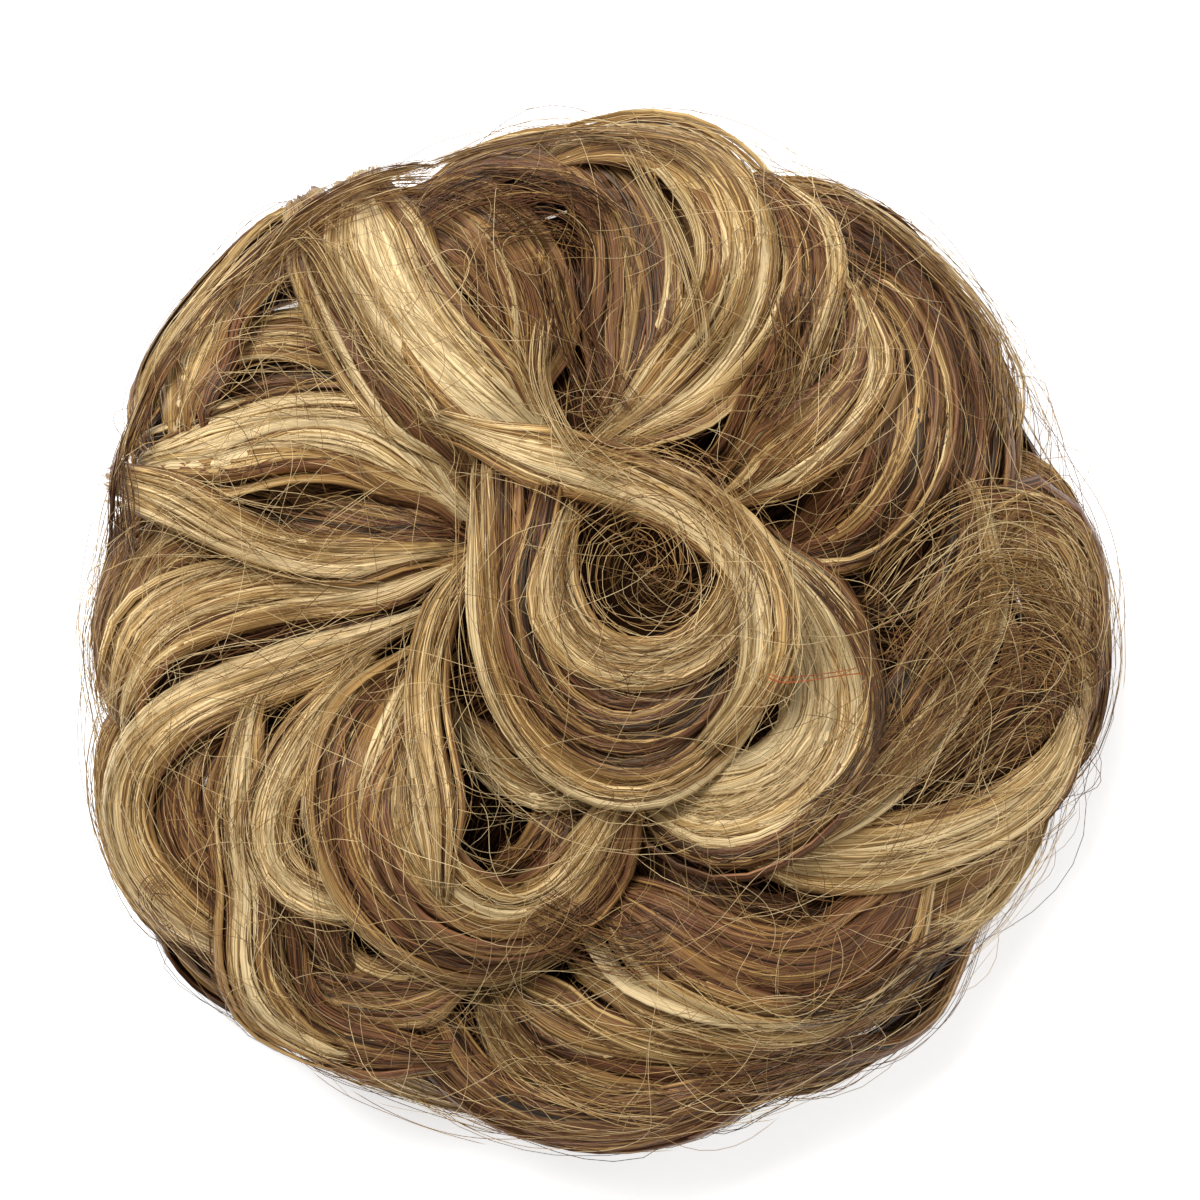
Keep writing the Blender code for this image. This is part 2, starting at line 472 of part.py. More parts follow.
def loft(sections):
    """A closed solid through the sections, its first face extruded from one to the next."""
    builder = bmesh.new()
    start = builder.faces.new([builder.verts.new(corner) for corner in sections[0]])
    face = start
    for ring in sections[1:]:
        grown = bmesh.ops.extrude_face_region(builder, geom=[face])["geom"]
        if face is not start:
            bmesh.ops.delete(builder, geom=[face], context="FACES_ONLY")
        face = next(piece for piece in grown if isinstance(piece, bmesh.types.BMFace))
        for corner, place in zip(face.verts, ring):
            corner.co = Vector(place)
    return builder


def add_lock(heights, name, finish, plan, droop, width, thickness, root, tip):
    wide, tall = end_shape(len(plan), root, tip)
    half_width = wide * width * LOCK_WIDTH / 2
    half_thickness = tall * thickness * LOCK_THICKNESS / 2
    sections = lay_lock(heights, plan, droop, half_width, half_thickness)
    heights.add(surface_samples(sections, 2 * SAMPLES_ALONG, 2 * SAMPLES_ACROSS))
    return add_object(name, loft(sections), finish)


def under_loop_route(number):
    """A shallow loop below the waist, as azimuths and polar angles."""
    middle = math.tau * (number + 0.5) / UNDER_LOOPS
    points = []
    for k in range(UNDER_LOOP_SECTIONS):
        swing = -1 + 2 * k / (UNDER_LOOP_SECTIONS - 1)
        azimuth = middle + swing * UNDER_LOOP_SPAN / 2
        polar = UNDER_LOOP_LOW + (UNDER_LOOP_HIGH - UNDER_LOOP_LOW) * swing * swing
        points.append((azimuth, polar))
    return np.array(points)


def add_under_loop(heights, number, finish):
    route = under_loop_route(number)
    wide, tall = end_shape(len(route), UNDER_LOOP_END, UNDER_LOOP_END)
    half_width = wide * UNDER_LOOP_WIDTH * LOCK_WIDTH / 2
    half_thickness = tall * LOCK_THICKNESS / 2
    reach = BED_FOOT_RADIUS / OUTLINE_RADIUS
    free = 0
    while free < LOCK_CLEARANCE / OUTLINE_RADIUS:
        centres = on_dome(np.full(len(route), reach), route[:, 1], route[:, 0])
        sections = lock_sections(centres, half_width, half_thickness)
        own, below = heights.top(surface_samples(sections, SAMPLES_ALONG, SAMPLES_ACROSS))
        free = (own - below).min()
        reach += LOCK_CLEARANCE / OUTLINE_RADIUS
    heights.add(surface_samples(sections, 2 * SAMPLES_ALONG, 2 * SAMPLES_ACROSS))
    return add_object(f"under_loop_{number + 1}", loft(sections), finish)


def bed_samples():
    """Points all over the bed's outer surface."""
    azimuth = np.linspace(0, math.tau, BED_SAMPLES_ROUND)[:, None]
    profile = np.array(bed_profile()[3:])
    line = np.vstack([np.linspace(a, b, BED_SAMPLES_PER_RING) for a, b in zip(profile, profile[1:])])
    radius, height = line.T
    radius = radius + FLUTE_DEPTH * radius / BED_RADIUS
    return np.stack([radius * np.cos(azimuth), radius * np.sin(azimuth), height + 0 * azimuth], axis=-1)


def main():
    clear_scene()
    finishes = {tone: material(tone) for tone in COLOURS}
    make_band(finishes["elastic"])
    make_bed(finishes["bed"])
    heights = HeightMap()
    heights.add(bed_samples())
    for number in range(UNDER_LOOPS):
        add_under_loop(heights, number, finishes["brown" if number % 2 else "tan"])
    for name, tone, width, thickness, root, tip, droop, route in LOCKS:
        plan = catmull_rom(route, section_count(route))
        add_lock(heights, name, finishes[tone], plan, droop, width, thickness, root, tip)


main()
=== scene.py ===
# Top knot hairpiece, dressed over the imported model: every lock is laid hair by hair on its own solid.
# Lengths are metres; only the streaks in the looks count by the millimetre. +Z is up, +Y is up in the photo.

import math

import bpy
import bmesh
import numpy as np
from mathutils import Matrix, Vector
from mathutils.bvhtree import BVHTree


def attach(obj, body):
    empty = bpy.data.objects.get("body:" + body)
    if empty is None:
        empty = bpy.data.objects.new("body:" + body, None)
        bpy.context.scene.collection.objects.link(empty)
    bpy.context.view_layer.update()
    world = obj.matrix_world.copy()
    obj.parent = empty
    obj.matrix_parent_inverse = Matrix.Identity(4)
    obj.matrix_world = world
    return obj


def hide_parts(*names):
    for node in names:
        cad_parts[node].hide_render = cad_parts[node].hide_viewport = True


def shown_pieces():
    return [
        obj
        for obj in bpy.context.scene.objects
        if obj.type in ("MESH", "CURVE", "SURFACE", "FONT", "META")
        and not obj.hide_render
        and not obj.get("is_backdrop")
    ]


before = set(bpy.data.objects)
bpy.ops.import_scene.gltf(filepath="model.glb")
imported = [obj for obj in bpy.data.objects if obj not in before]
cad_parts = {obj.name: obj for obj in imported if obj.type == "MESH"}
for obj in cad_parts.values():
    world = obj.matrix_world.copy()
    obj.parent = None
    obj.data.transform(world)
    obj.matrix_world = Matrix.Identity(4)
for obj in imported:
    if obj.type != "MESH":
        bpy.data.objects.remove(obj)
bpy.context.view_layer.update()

mm = 0.001

# The dome that the locks were laid on, as in the part's source
dome = {
    "outlineRadius": 73.5 * mm,  # one share of a route
    "waistHeight": 17 * mm,
    "crownRise": 33 * mm,
    "levelLean": 0.3,  # how far a lock's flat side turns to face up
}

locks = {
    "width": 10.5 * mm,  # where a row says 1
    "thickness": 2.7 * mm,
    "endTaper": 0.22,  # share of the length, at each end
    "endThickness": 0.38,
    "sampleSpacing": 2.6 * mm,  # along a lock
    "fewestSamples": 16,
    "tailSteps": 6,  # how the hair goes on past the solid's ends, down into the pile
    "tailStep": 2.2 * mm,
    "tailBend": 0.35,
    "rimBend": 1.1,  # more, where a lock would stick out of the outline
    "tailWidth": 0.6,
    "roundness": 2.3,  # of its section; 2 is an ellipse
    "crowding": 0.85,  # power of the width by which the hairs grow more
    "coreWidth": 0.8,  # the dense hair inside, against the solid
    "coreThickness": 0.72,
    "coreSides": 10,
    "coreTaper": 0.16,
    "coreEnd": 0.12,
    "coreStreaks": 800,  # where its streaks are read, away from the other hairs'
    # painted shade: how much darker the tint of a lock's inner core is, for the deeper hair seen between the
    # ribbons
    "corePaintedShade": 0.32,
}

# The three sorts of hair that a lock is laid from
ribbons = {
    "perWidth": 18,  # on a lock of full width
    "fewest": 8,
    "spacing": 3.6 * mm,  # along it
    "upperShare": 0.76,
    "halfWidth": 0.11,  # of the lock's full width
    "halfThickness": 0.38 * mm,
    "sides": 6,
    "wander": 0.15,
    "crossers": 0.22,
    "strays": 0.0,
    "strayReach": 0.0,
    "lift": 0.25 * mm,
    "sink": 0.82,  # of the lock's half thickness, where they lie
    "endSpread": 0.75,
    "roll": 0.85,  # how they wrap round the lock
    "rollSpread": 0.16,
    "tintSpread": 0.15,
    "lean": 0.09,  # difference of tint from edge to edge
    "taper": 0.22,
    "endWidth": 0.12,
    "endThickness": 0.3,
}
strandSort = {
    "perWidth": 43,
    "fewest": 12,
    "spacing": 3.6 * mm,
    "upperShare": 0.86,
    "radius": 0.078 * mm,
    "wander": 0.16,
    "crossers": 0.2,
    "strays": 0.14,
    "strayReach": 0.5,
    "lift": 0.35 * mm,
    "sink": 1.12,
    "endSpread": 0.9,
    "tintSpread": 0.2,
    "taper": 0.12,
    "endThickness": 0.3,
}
looseSort = {
    "perWidth": 12,
    "fewest": 5,
    "spacing": 3.6 * mm,
    "upperShare": 0.95,
    "radius": 0.055 * mm,
    "wander": 0.4,
    "crossers": 0.5,
    "strays": 0.8,
    "strayReach": 1.0,
    "lift": 1.1 * mm,
    "sink": 1.25,
    "endSpread": 1.0,
    "tintSpread": 0.16,
    "taper": 0.1,
    "endThickness": 0.3,
}

# Tints run from 0, dark brown, over brown .2, rose .38, light brown .5, golden .65 and blonde .82
# to 1, bright blonde.
# They stand from the lock's left to its right, seen along its route. Width and thickness are shares of a
# full lock's, root and tip shares of the lock's own width, and route points (right, up) shares of the
# outline radius.
# name, tone, width, thickness, root, tip, tints, route
lockRows = (
    ("rim_low_left", "brown", 0.75, 1.1, 0.6, 0.6, (0.3, 0.2, 0.15, 0.3),
     ((-0.84, -0.40), (-0.88, -0.53), (-0.83, -0.65), (-0.72, -0.74), (-0.58, -0.80), (-0.44, -0.82))),
    ("rim_bottom_left", "tan", 1.15, 1.2, 0.5, 0.6, (0.5, 0.7, 0.6, 0.75, 0.55),
     ((-0.62, -0.66), (-0.56, -0.78), (-0.42, -0.87), (-0.25, -0.93), (-0.08, -0.95), (0.08, -0.92))),
    ("rim_bottom_right", "brown", 1.1, 1.2, 0.5, 0.6, (0.2, 0.3, 0.25, 0.5, 0.8),
     ((0.06, -0.76), (0.22, -0.83), (0.40, -0.87), (0.56, -0.83), (0.68, -0.72), (0.75, -0.58))),
    ("rim_right", "rose", 1.0, 1.3, 0.6, 0.5, (0.55, 0.4, 0.42, 0.35),
     ((0.76, 0.34), (0.87, 0.30), (0.93, 0.18), (0.97, 0.03), (0.98, -0.10), (0.94, -0.24), (0.86, -0.34))),
    ("rim_top_right", "tan", 0.8, 1.1, 0.5, 0.6, (0.75, 0.5, 0.55, 0.4),
     ((0.28, 0.88), (0.44, 0.86), (0.60, 0.77), (0.73, 0.62), (0.80, 0.46), (0.80, 0.30))),
    ("rim_top_left", "tan", 0.75, 1.1, 0.6, 0.6, (0.45, 0.6, 0.65, 0.75),
     ((-0.46, 0.84), (-0.63, 0.81), (-0.76, 0.69), (-0.86, 0.56), (-0.92, 0.43), (-0.91, 0.31))),
    ("rim_left_upper", "tan", 0.8, 1.1, 0.6, 0.6, (0.35, 0.55, 0.6, 0.6),
     ((-0.86, 0.30), (-0.93, 0.20), (-0.97, 0.08), (-0.985, -0.04), (-0.95, -0.15), (-0.87, -0.22))),
    ("rim_left_lower", "tan", 0.9, 1.2, 0.5, 0.6, (0.3, 0.55, 0.7, 0.5),
     ((-0.88, -0.12), (-0.94, -0.23), (-0.955, -0.36), (-0.92, -0.48), (-0.84, -0.57), (-0.72, -0.64))),
    ("left_loop_filling", "brown", 1.4, 0.9, 0.4, 0.4, (0.4, 0.5, 0.35, 0.45),
     ((-0.62, -0.10), (-0.76, -0.16), (-0.83, -0.28), (-0.82, -0.41), (-0.73, -0.52), (-0.60, -0.57))),
    ("left_low_brown", "brown", 1.2, 0.9, 0.5, 0.35, (0.4, 0.25, 0.2, 0.35),
     ((-0.88, -0.14), (-0.80, -0.04), (-0.66, 0.01), (-0.52, 0.03), (-0.38, 0.06))),
    ("left_middle_brown", "rose", 1.35, 0.9, 0.4, 0.35, (0.38, 0.42, 0.35, 0.3),
     ((-0.86, 0.33), (-0.72, 0.27), (-0.58, 0.23), (-0.45, 0.21), (-0.32, 0.20))),
    ("left_upper_brown", "brown", 1.25, 0.9, 0.4, 0.35, (0.3, 0.22, 0.25, 0.3),
     ((-0.88, 0.36), (-0.76, 0.44), (-0.62, 0.48), (-0.49, 0.47), (-0.36, 0.39))),
    ("top_brown_sweep", "brown", 1.6, 1.0, 0.45, 0.35, (0.55, 0.42, 0.5, 0.35),
     ((-0.34, 0.86), (-0.20, 0.94), (-0.05, 0.92), (0.05, 0.82), (0.09, 0.68), (0.08, 0.54), (0.03, 0.42))),
    ("top_left_brown", "rose", 1.3, 1.0, 0.5, 0.35, (0.45, 0.38, 0.5, 0.35),
     ((-0.40, 0.83), (-0.27, 0.80), (-0.18, 0.71), (-0.14, 0.59), (-0.14, 0.46))),
    ("right_outer_brown", "brown", 1.45, 1.0, 0.4, 0.35, (0.3, 0.2, 0.25, 0.3, 0.2),
     ((0.34, 0.84), (0.52, 0.77), (0.65, 0.63), (0.71, 0.46), (0.70, 0.28), (0.63, 0.13), (0.50, 0.04))),
    ("right_middle_brown", "rose", 1.5, 0.9, 0.4, 0.35, (0.35, 0.4, 0.38, 0.3),
     ((0.44, 0.72), (0.54, 0.60), (0.585, 0.45), (0.55, 0.30), (0.45, 0.19), (0.33, 0.15))),
    ("right_rim_tan", "tan", 1.3, 1.0, 0.4, 0.45, (0.55, 0.5, 0.45, 0.5),
     ((0.72, 0.02), (0.77, 0.14), (0.85, 0.20), (0.91, 0.13), (0.92, 0.00), (0.88, -0.12))),
    ("right_sweep", "brown", 1.5, 0.9, 0.4, 0.4, (0.35, 0.25, 0.3, 0.2),
     ((0.86, 0.02), (0.88, -0.12), (0.80, -0.22), (0.67, -0.29), (0.53, -0.36), (0.38, -0.40))),
    ("bottom_tan_fan", "tan", 1.6, 0.9, 0.4, 0.5, (0.45, 0.65, 0.5, 0.7, 0.55),
     ((-0.20, -0.68), (-0.10, -0.79), (0.05, -0.85), (0.22, -0.87), (0.38, -0.86))),
    ("bottom_brown_loop", "brown", 1.0, 1.1, 0.45, 0.5, (0.25, 0.3, 0.35, 0.3),
     ((-0.36, -0.62), (-0.34, -0.74), (-0.26, -0.87), (-0.12, -0.95), (0.04, -0.965), (0.20, -0.92),
      (0.33, -0.86))),
    ("low_left_under", "tan", 1.1, 0.9, 0.4, 0.4, (0.4, 0.5, 0.45),
     ((-0.62, -0.62), (-0.50, -0.69), (-0.38, -0.70), (-0.26, -0.67))),
    ("low_left_tan", "tan", 1.0, 0.9, 0.45, 0.5, (0.35, 0.5, 0.3, 0.55),
     ((-0.61, -0.50), (-0.63, -0.63), (-0.58, -0.75), (-0.46, -0.81), (-0.32, -0.83))),
    ("right_low_brown", "brown", 1.3, 0.9, 0.35, 0.4, (0.2, 0.25, 0.35, 0.3),
     ((0.08, -0.43), (0.17, -0.52), (0.29, -0.59), (0.41, -0.59), (0.51, -0.52), (0.56, -0.43))),
    ("left_rose", "rose", 1.0, 0.8, 0.4, 0.4, (0.3, 0.4, 0.35, 0.2),
     ((-0.44, -0.10), (-0.51, -0.21), (-0.545, -0.33), (-0.54, -0.46), (-0.51, -0.61))),
    ("left_inner_loop", "tan", 0.85, 1.0, 0.5, 0.5, (0.5, 0.6, 0.55),
     ((-0.70, 0.20), (-0.82, 0.18), (-0.90, 0.09), (-0.93, -0.03), (-0.90, -0.14))),
    ("left_low_blonde", "blonde", 0.95, 0.9, 0.5, 0.35, (0.75, 0.9, 0.55, 0.8, 0.4),
     ((-0.92, -0.13), (-0.86, -0.01), (-0.76, 0.05), (-0.63, 0.085), (-0.50, 0.095), (-0.37, 0.11),
      (-0.27, 0.14))),
    ("left_upper_arch", "tan", 0.85, 0.9, 0.4, 0.35, (0.7, 0.6, 0.75, 0.5),
     ((-0.84, 0.47), (-0.73, 0.55), (-0.60, 0.585), (-0.48, 0.56), (-0.39, 0.48), (-0.31, 0.36))),
    ("left_blonde_arch", "blonde", 1.25, 1.0, 0.4, 0.3, (0.75, 0.95, 1.0, 0.85, 0.5),
     ((-0.86, 0.33), (-0.74, 0.35), (-0.61, 0.385), (-0.49, 0.385), (-0.38, 0.34), (-0.28, 0.25))),
    ("left_slanting_blonde", "blonde", 0.7, 0.9, 0.6, 0.4, (0.6, 0.85, 0.9, 0.7),
     ((-0.92, 0.29), (-0.81, 0.255), (-0.71, 0.195), (-0.60, 0.15), (-0.48, 0.135), (-0.35, 0.15))),
    ("left_long_loop", "blonde", 0.75, 1.0, 0.35, 0.5, (0.5, 0.8, 0.95, 0.85),
     ((-0.36, 0.02), (-0.50, -0.04), (-0.64, -0.09), (-0.78, -0.145), (-0.88, -0.235), (-0.915, -0.35),
      (-0.88, -0.47), (-0.79, -0.56), (-0.68, -0.62))),
    ("left_upright_blonde", "blonde", 0.8, 0.9, 0.6, 0.5, (0.6, 0.9, 0.8, 0.4),
     ((-0.675, -0.19), (-0.685, -0.28), (-0.69, -0.38), (-0.675, -0.50), (-0.68, -0.63), (-0.64, -0.74),
      (-0.54, -0.81))),
    ("left_hooked_blonde", "blonde", 0.7, 0.9, 0.5, 0.5, (0.55, 0.85, 0.9, 0.6),
     ((-0.47, -0.08), (-0.55, -0.19), (-0.61, -0.30), (-0.625, -0.40), (-0.58, -0.48), (-0.49, -0.52),
      (-0.40, -0.53))),
    ("top_left_golden", "blonde", 1.15, 1.0, 0.5, 0.4, (0.5, 0.7, 0.65, 0.75),
     ((-0.50, 0.80), (-0.61, 0.76), (-0.71, 0.66), (-0.78, 0.54), (-0.81, 0.42))),
    ("top_left_two_tone", "rose", 1.25, 0.9, 0.45, 0.3, (0.3, 0.35, 0.4, 0.35, 0.85),
     ((-0.58, 0.84), (-0.53, 0.74), (-0.47, 0.63), (-0.40, 0.52), (-0.32, 0.42), (-0.26, 0.32))),
    ("top_left_blonde", "blonde", 1.3, 1.1, 0.45, 0.4, (0.7, 1.0, 1.0, 0.95, 0.6),
     ((-0.46, 0.87), (-0.43, 0.76), (-0.38, 0.65), (-0.31, 0.55), (-0.22, 0.46), (-0.12, 0.38))),
    ("top_blonde", "blonde", 1.25, 1.1, 0.5, 0.4, (0.65, 0.9, 0.8, 0.95, 0.6),
     ((-0.05, 0.96), (0.10, 0.97), (0.22, 0.90), (0.285, 0.78), (0.28, 0.65), (0.22, 0.54), (0.13, 0.45),
      (0.02, 0.37))),
    ("top_right_curl", "rose", 0.8, 0.9, 0.5, 0.4, (0.85, 0.5, 0.3, 0.3),
     ((0.34, 0.86), (0.41, 0.77), (0.425, 0.66), (0.39, 0.55), (0.34, 0.45), (0.27, 0.35))),
    ("top_right_tan", "tan", 0.9, 0.9, 0.4, 0.4, (0.6, 0.65, 0.55, 0.5),
     ((0.50, 0.62), (0.515, 0.50), (0.45, 0.40), (0.36, 0.32), (0.27, 0.26))),
    ("low_right_blonde_arc", "blonde", 0.85, 0.9, 0.4, 0.5, (0.55, 0.7, 0.75, 0.6),
     ((0.00, -0.67), (0.13, -0.72), (0.28, -0.755), (0.43, -0.755), (0.56, -0.71), (0.67, -0.62))),
    ("right_low_rim", "blonde", 0.95, 1.0, 0.4, 0.5, (0.5, 0.8, 0.85, 0.7),
     ((0.50, -0.60), (0.62, -0.585), (0.73, -0.54), (0.82, -0.44), (0.88, -0.30))),
    ("low_right_two_tone", "rose", 1.35, 1.0, 0.4, 0.4, (0.38, 0.35, 0.4, 0.5, 0.9),
     ((-0.02, -0.48), (0.08, -0.56), (0.20, -0.63), (0.34, -0.67), (0.47, -0.645), (0.57, -0.57),
      (0.62, -0.46))),
    ("right_long_blonde", "blonde", 0.95, 1.0, 0.4, 0.5, (0.7, 0.95, 0.85, 0.6),
     ((0.24, -0.405), (0.38, -0.43), (0.52, -0.435), (0.66, -0.41), (0.79, -0.36), (0.88, -0.28),
      (0.93, -0.17))),
    ("right_second_ring", "tan", 1.0, 1.0, 0.35, 0.4, (0.9, 0.6, 0.35, 0.3),
     ((0.72, 0.24), (0.725, 0.10), (0.69, -0.03), (0.62, -0.15), (0.52, -0.26), (0.40, -0.34), (0.27, -0.385),
      (0.14, -0.38))),
    ("right_big_blonde", "blonde", 1.4, 1.1, 0.3, 0.45, (0.3, 0.75, 1.0, 1.0, 0.85),
     ((0.31, 0.17), (0.39, 0.06), (0.44, -0.06), (0.445, -0.17), (0.39, -0.27), (0.29, -0.335),
      (0.17, -0.345), (0.08, -0.29))),
    ("u_curl_filling", "rose", 1.2, 0.8, 0.4, 0.4, (0.35, 0.3, 0.4),
     ((-0.01, -0.27), (-0.04, -0.38), (-0.11, -0.48), (-0.21, -0.53))),
    ("small_hook", "blonde", 0.6, 0.8, 0.4, 0.5, (0.7, 0.9, 0.75),
     ((-0.27, -0.17), (-0.21, -0.245), (-0.13, -0.30), (-0.03, -0.32))),
    ("u_curl_outer", "blonde", 1.2, 1.1, 0.3, 0.4, (0.6, 0.85, 0.4, 0.35, 0.8),
     ((-0.31, -0.03), (-0.40, -0.14), (-0.455, -0.27), (-0.45, -0.40), (-0.39, -0.51), (-0.29, -0.59),
      (-0.17, -0.615), (-0.05, -0.58))),
    ("u_curl_inner", "blonde", 1.0, 1.0, 0.4, 0.5, (0.7, 0.9, 0.5, 0.4),
     ((-0.35, -0.19), (-0.375, -0.31), (-0.345, -0.42), (-0.27, -0.51), (-0.16, -0.55), (-0.05, -0.50),
      (0.02, -0.40), (0.06, -0.29))),
    ("middle_upright", "blonde", 0.55, 0.9, 0.5, 0.5, (0.6, 0.85, 0.8),
     ((-0.24, 0.14), (-0.30, 0.04), (-0.325, -0.08), (-0.315, -0.20), (-0.29, -0.32), (-0.29, -0.44))),
    ("centre_outer_curl", "tan", 0.9, 1.0, 0.9, 0.4, (0.3, 0.35, 0.55, 0.8),
     ((-0.19, 0.29), (-0.185, 0.16), (-0.18, 0.03), (-0.15, -0.09), (-0.08, -0.20), (0.03, -0.26),
      (0.14, -0.24), (0.23, -0.15), (0.29, -0.04), (0.31, 0.08))),
    ("centre_middle_curl", "rose", 0.75, 0.9, 0.5, 0.4, (0.3, 0.25, 0.35, 0.3),
     ((-0.10, 0.23), (-0.12, 0.11), (-0.11, -0.01), (-0.06, -0.11), (0.03, -0.165), (0.13, -0.15),
      (0.21, -0.08), (0.25, 0.01))),
    ("centre_ring", "blonde", 0.7, 0.9, 0.5, 0.5, (0.6, 0.85, 0.95, 0.7),
     ((-0.07, 0.17), (-0.085, 0.07), (-0.04, -0.02), (0.05, -0.06), (0.15, -0.05), (0.235, 0.01),
      (0.28, 0.10), (0.26, 0.19))),
    ("crown_band", "blonde", 0.8, 1.0, 0.35, 0.5, (0.5, 0.8, 0.9, 0.6),
     ((-0.27, 0.39), (-0.15, 0.345), (-0.02, 0.31), (0.10, 0.265), (0.21, 0.20), (0.285, 0.11),
      (0.31, 0.00), (0.29, -0.10), (0.23, -0.18))),
)


# Shader nodes

class Wire:
    # A node's output, with the operators that the looks use
    def __init__(self, bench, socket):
        self.bench = bench
        self.socket = socket

    def join(self, operation, *values):
        return self.bench.node("ShaderNodeMath", {"operation": operation}, dict(enumerate(values)))

    def __add__(self, other):
        return self.join("ADD", self, other)

    def __radd__(self, other):
        return self.join("ADD", other, self)

    def __sub__(self, other):
        return self.join("SUBTRACT", self, other)

    def __rsub__(self, other):
        return self.join("SUBTRACT", other, self)

    def __mul__(self, other):
        return self.join("MULTIPLY", self, other)

    def __rmul__(self, other):
        return self.join("MULTIPLY", other, self)


class Bench:
    # The node tree of one finish
    def __init__(self, name):
        self.finish = bpy.data.materials.new(name)
        self.finish.use_nodes = True
        self.tree = self.finish.node_tree
        self.shader = self.tree.nodes["Principled BSDF"]

    def node(self, kind, settings, sockets, output=0):
        made = self.tree.nodes.new(kind)
        for name, value in settings.items():
            if name == "stops":
                ramp = made.color_ramp
                while len(ramp.elements) < len(value):
                    ramp.elements.new(0.5)
                for element, (place, colour) in zip(ramp.elements, value):
                    element.position = place
                    element.color = colour
            else:
                setattr(made, name, value)
        for name, value in sockets.items():
            self.plug(made.inputs[name], value)
        return Wire(self, made.outputs[output])

    def plug(self, socket, value):
        if isinstance(value, Wire):
            self.tree.links.new(value.socket, socket)
        else:
            socket.default_value = value

    def attribute(self, name, output):
        return self.node("ShaderNodeAttribute", {"attribute_name": name}, {}, output)

    def noise(self, place, scale, detail=2.0):
        return self.node("ShaderNodeTexNoise", {}, {"Vector": place, "Scale": scale, "Detail": detail})

    def stretched(self, place, factors):
        return self.node("ShaderNodeVectorMath", {"operation": "MULTIPLY"}, {0: place, 1: factors})

    def bump(self, height, strength, distance):
        return self.node("ShaderNodeBump", {}, {"Height": height, "Strength": strength, "Distance": distance})


def linear(red, green, blue):
    # A colour picked on screen, 0 to 255, as the shader's linear one
    parts = []
    for part in (red, green, blue):
        share = part / 255
        parts.append(share / 12.92 if share <= 0.04045 else ((share + 0.055) / 1.055) ** 2.4)
    return (*parts, 1.0)


hairLook = {
    "dyes": ((0.0, (30, 16, 8)), (0.2, (78, 49, 29)), (0.38, (130, 84, 60)), (0.5, (138, 101, 60)),
             (0.65, (166, 127, 74)), (0.82, (200, 167, 110)), (1.0, (232, 206, 156))),
    "hairsPerMm": 4.8,
    "groupsPerMm": 1.3,
    "stretch": 0.008,  # how slowly a streak changes along the hair, against across it
    "hairContrast": 1.3,
    # painted shade and highlight: how far the fine streaks darken and lighten the colour, and the middle of
    # that scale, a little under 1, which darkens all the hair evenly
    "paintedShadeContrast": 2.4,
    "paintedShadeMiddle": 0.92,
    "groupContrast": 0.5,
    "roughness": 0.33,
    "roughnessSpread": 0.2,
    "bumpStrength": 0.9,
    "bumpDistance": 0.3 * mm,
    "gloss": 0.42,
    "glossTint": (1.0, 0.84, 0.62, 1.0),
}
shadedLook = {**hairLook, "gloss": 0.08, "roughness": 0.6, "bumpStrength": 0.5}


def dyedHair(name, look):
    # Fine streaks that run along each hair, in the two-tone dye given by the tint; the same streaks also make
    # the colour lighter and darker, partly the hairs' own tone and partly painted shade between the hairs and
    # painted highlight on them
    bench = Bench(name)
    fibre = bench.attribute("fibre", "Vector")
    tint = bench.attribute("tint", "Fac")

    def streaks(perMm):
        return bench.noise(bench.stretched(fibre, (perMm, look["stretch"] * perMm, 1)), 1.0)

    hairs = streaks(look["hairsPerMm"])
    groups = streaks(look["groupsPerMm"])
    tone = tint + (hairs - 0.5) * look["hairContrast"] + (groups - 0.5) * look["groupContrast"]
    stops = [(place, linear(*dye)) for place, dye in look["dyes"]]
    colour = bench.node("ShaderNodeValToRGB", {"stops": stops}, {"Fac": tone})
    # painted shade and highlight along the hairs: the colour scaled darker and lighter by the streaks
    paintedShade = (hairs - 0.5) * look["paintedShadeContrast"] + look["paintedShadeMiddle"]
    paintedShadeColour = bench.node("ShaderNodeVectorMath", {"operation": "SCALE"}, {0: colour, "Scale": paintedShade})
    bench.plug(bench.shader.inputs["Base Color"], paintedShadeColour)
    bench.plug(bench.shader.inputs["Roughness"], look["roughness"] + (groups - 0.5) * look["roughnessSpread"])
    bench.plug(bench.shader.inputs["Normal"], bench.bump(hairs, look["bumpStrength"], look["bumpDistance"]))
    bench.shader.inputs["Specular IOR Level"].default_value = look["gloss"]
    bench.shader.inputs["Specular Tint"].default_value = look["glossTint"]
    return bench.finish


hair = dyedHair("dyed_hair", hairLook)
shadedHair = dyedHair("shaded_hair", shadedLook)


# Courses: where a lock runs

def smoothCurve(points, count):
    # A curve through the points, at evenly spaced places along it
    points = np.array(points, float)
    ends = np.vstack([2 * points[0] - points[1], points, 2 * points[-1] - points[-2]])
    curve = []
    for before, start, stop, after in zip(ends, ends[1:], ends[2:], ends[3:]):
        t = np.linspace(0, 1, 24, endpoint=False)[:, None]
        curve.append(0.5 * (2 * start + (stop - before) * t
                            + (2 * before - 5 * start + 4 * stop - after) * t ** 2
                            + (3 * start - before - 3 * stop + after) * t ** 3))
    curve = np.vstack(curve + [points[-1:]])
    run = np.concatenate([[0], np.cumsum(np.linalg.norm(np.diff(curve, axis=0), axis=1))])
    wanted = np.linspace(0, run[-1], count)
    return np.stack([np.interp(wanted, run, curve[:, k]) for k in range(curve.shape[1])], axis=-1)


def lengthOf(points):
    return np.linalg.norm(np.diff(points, axis=0), axis=1).sum()


def eased(share):
    share = np.clip(share, 0, 1)
    return share * share * (3 - 2 * share)


def softened(values, rounds):
    # Evens a row of values out, its ends kept
    values = np.array(values, float)
    for _ in range(rounds):
        values[1:-1] = (values[:-2] + 2 * values[1:-1] + values[2:]) / 4
    return values


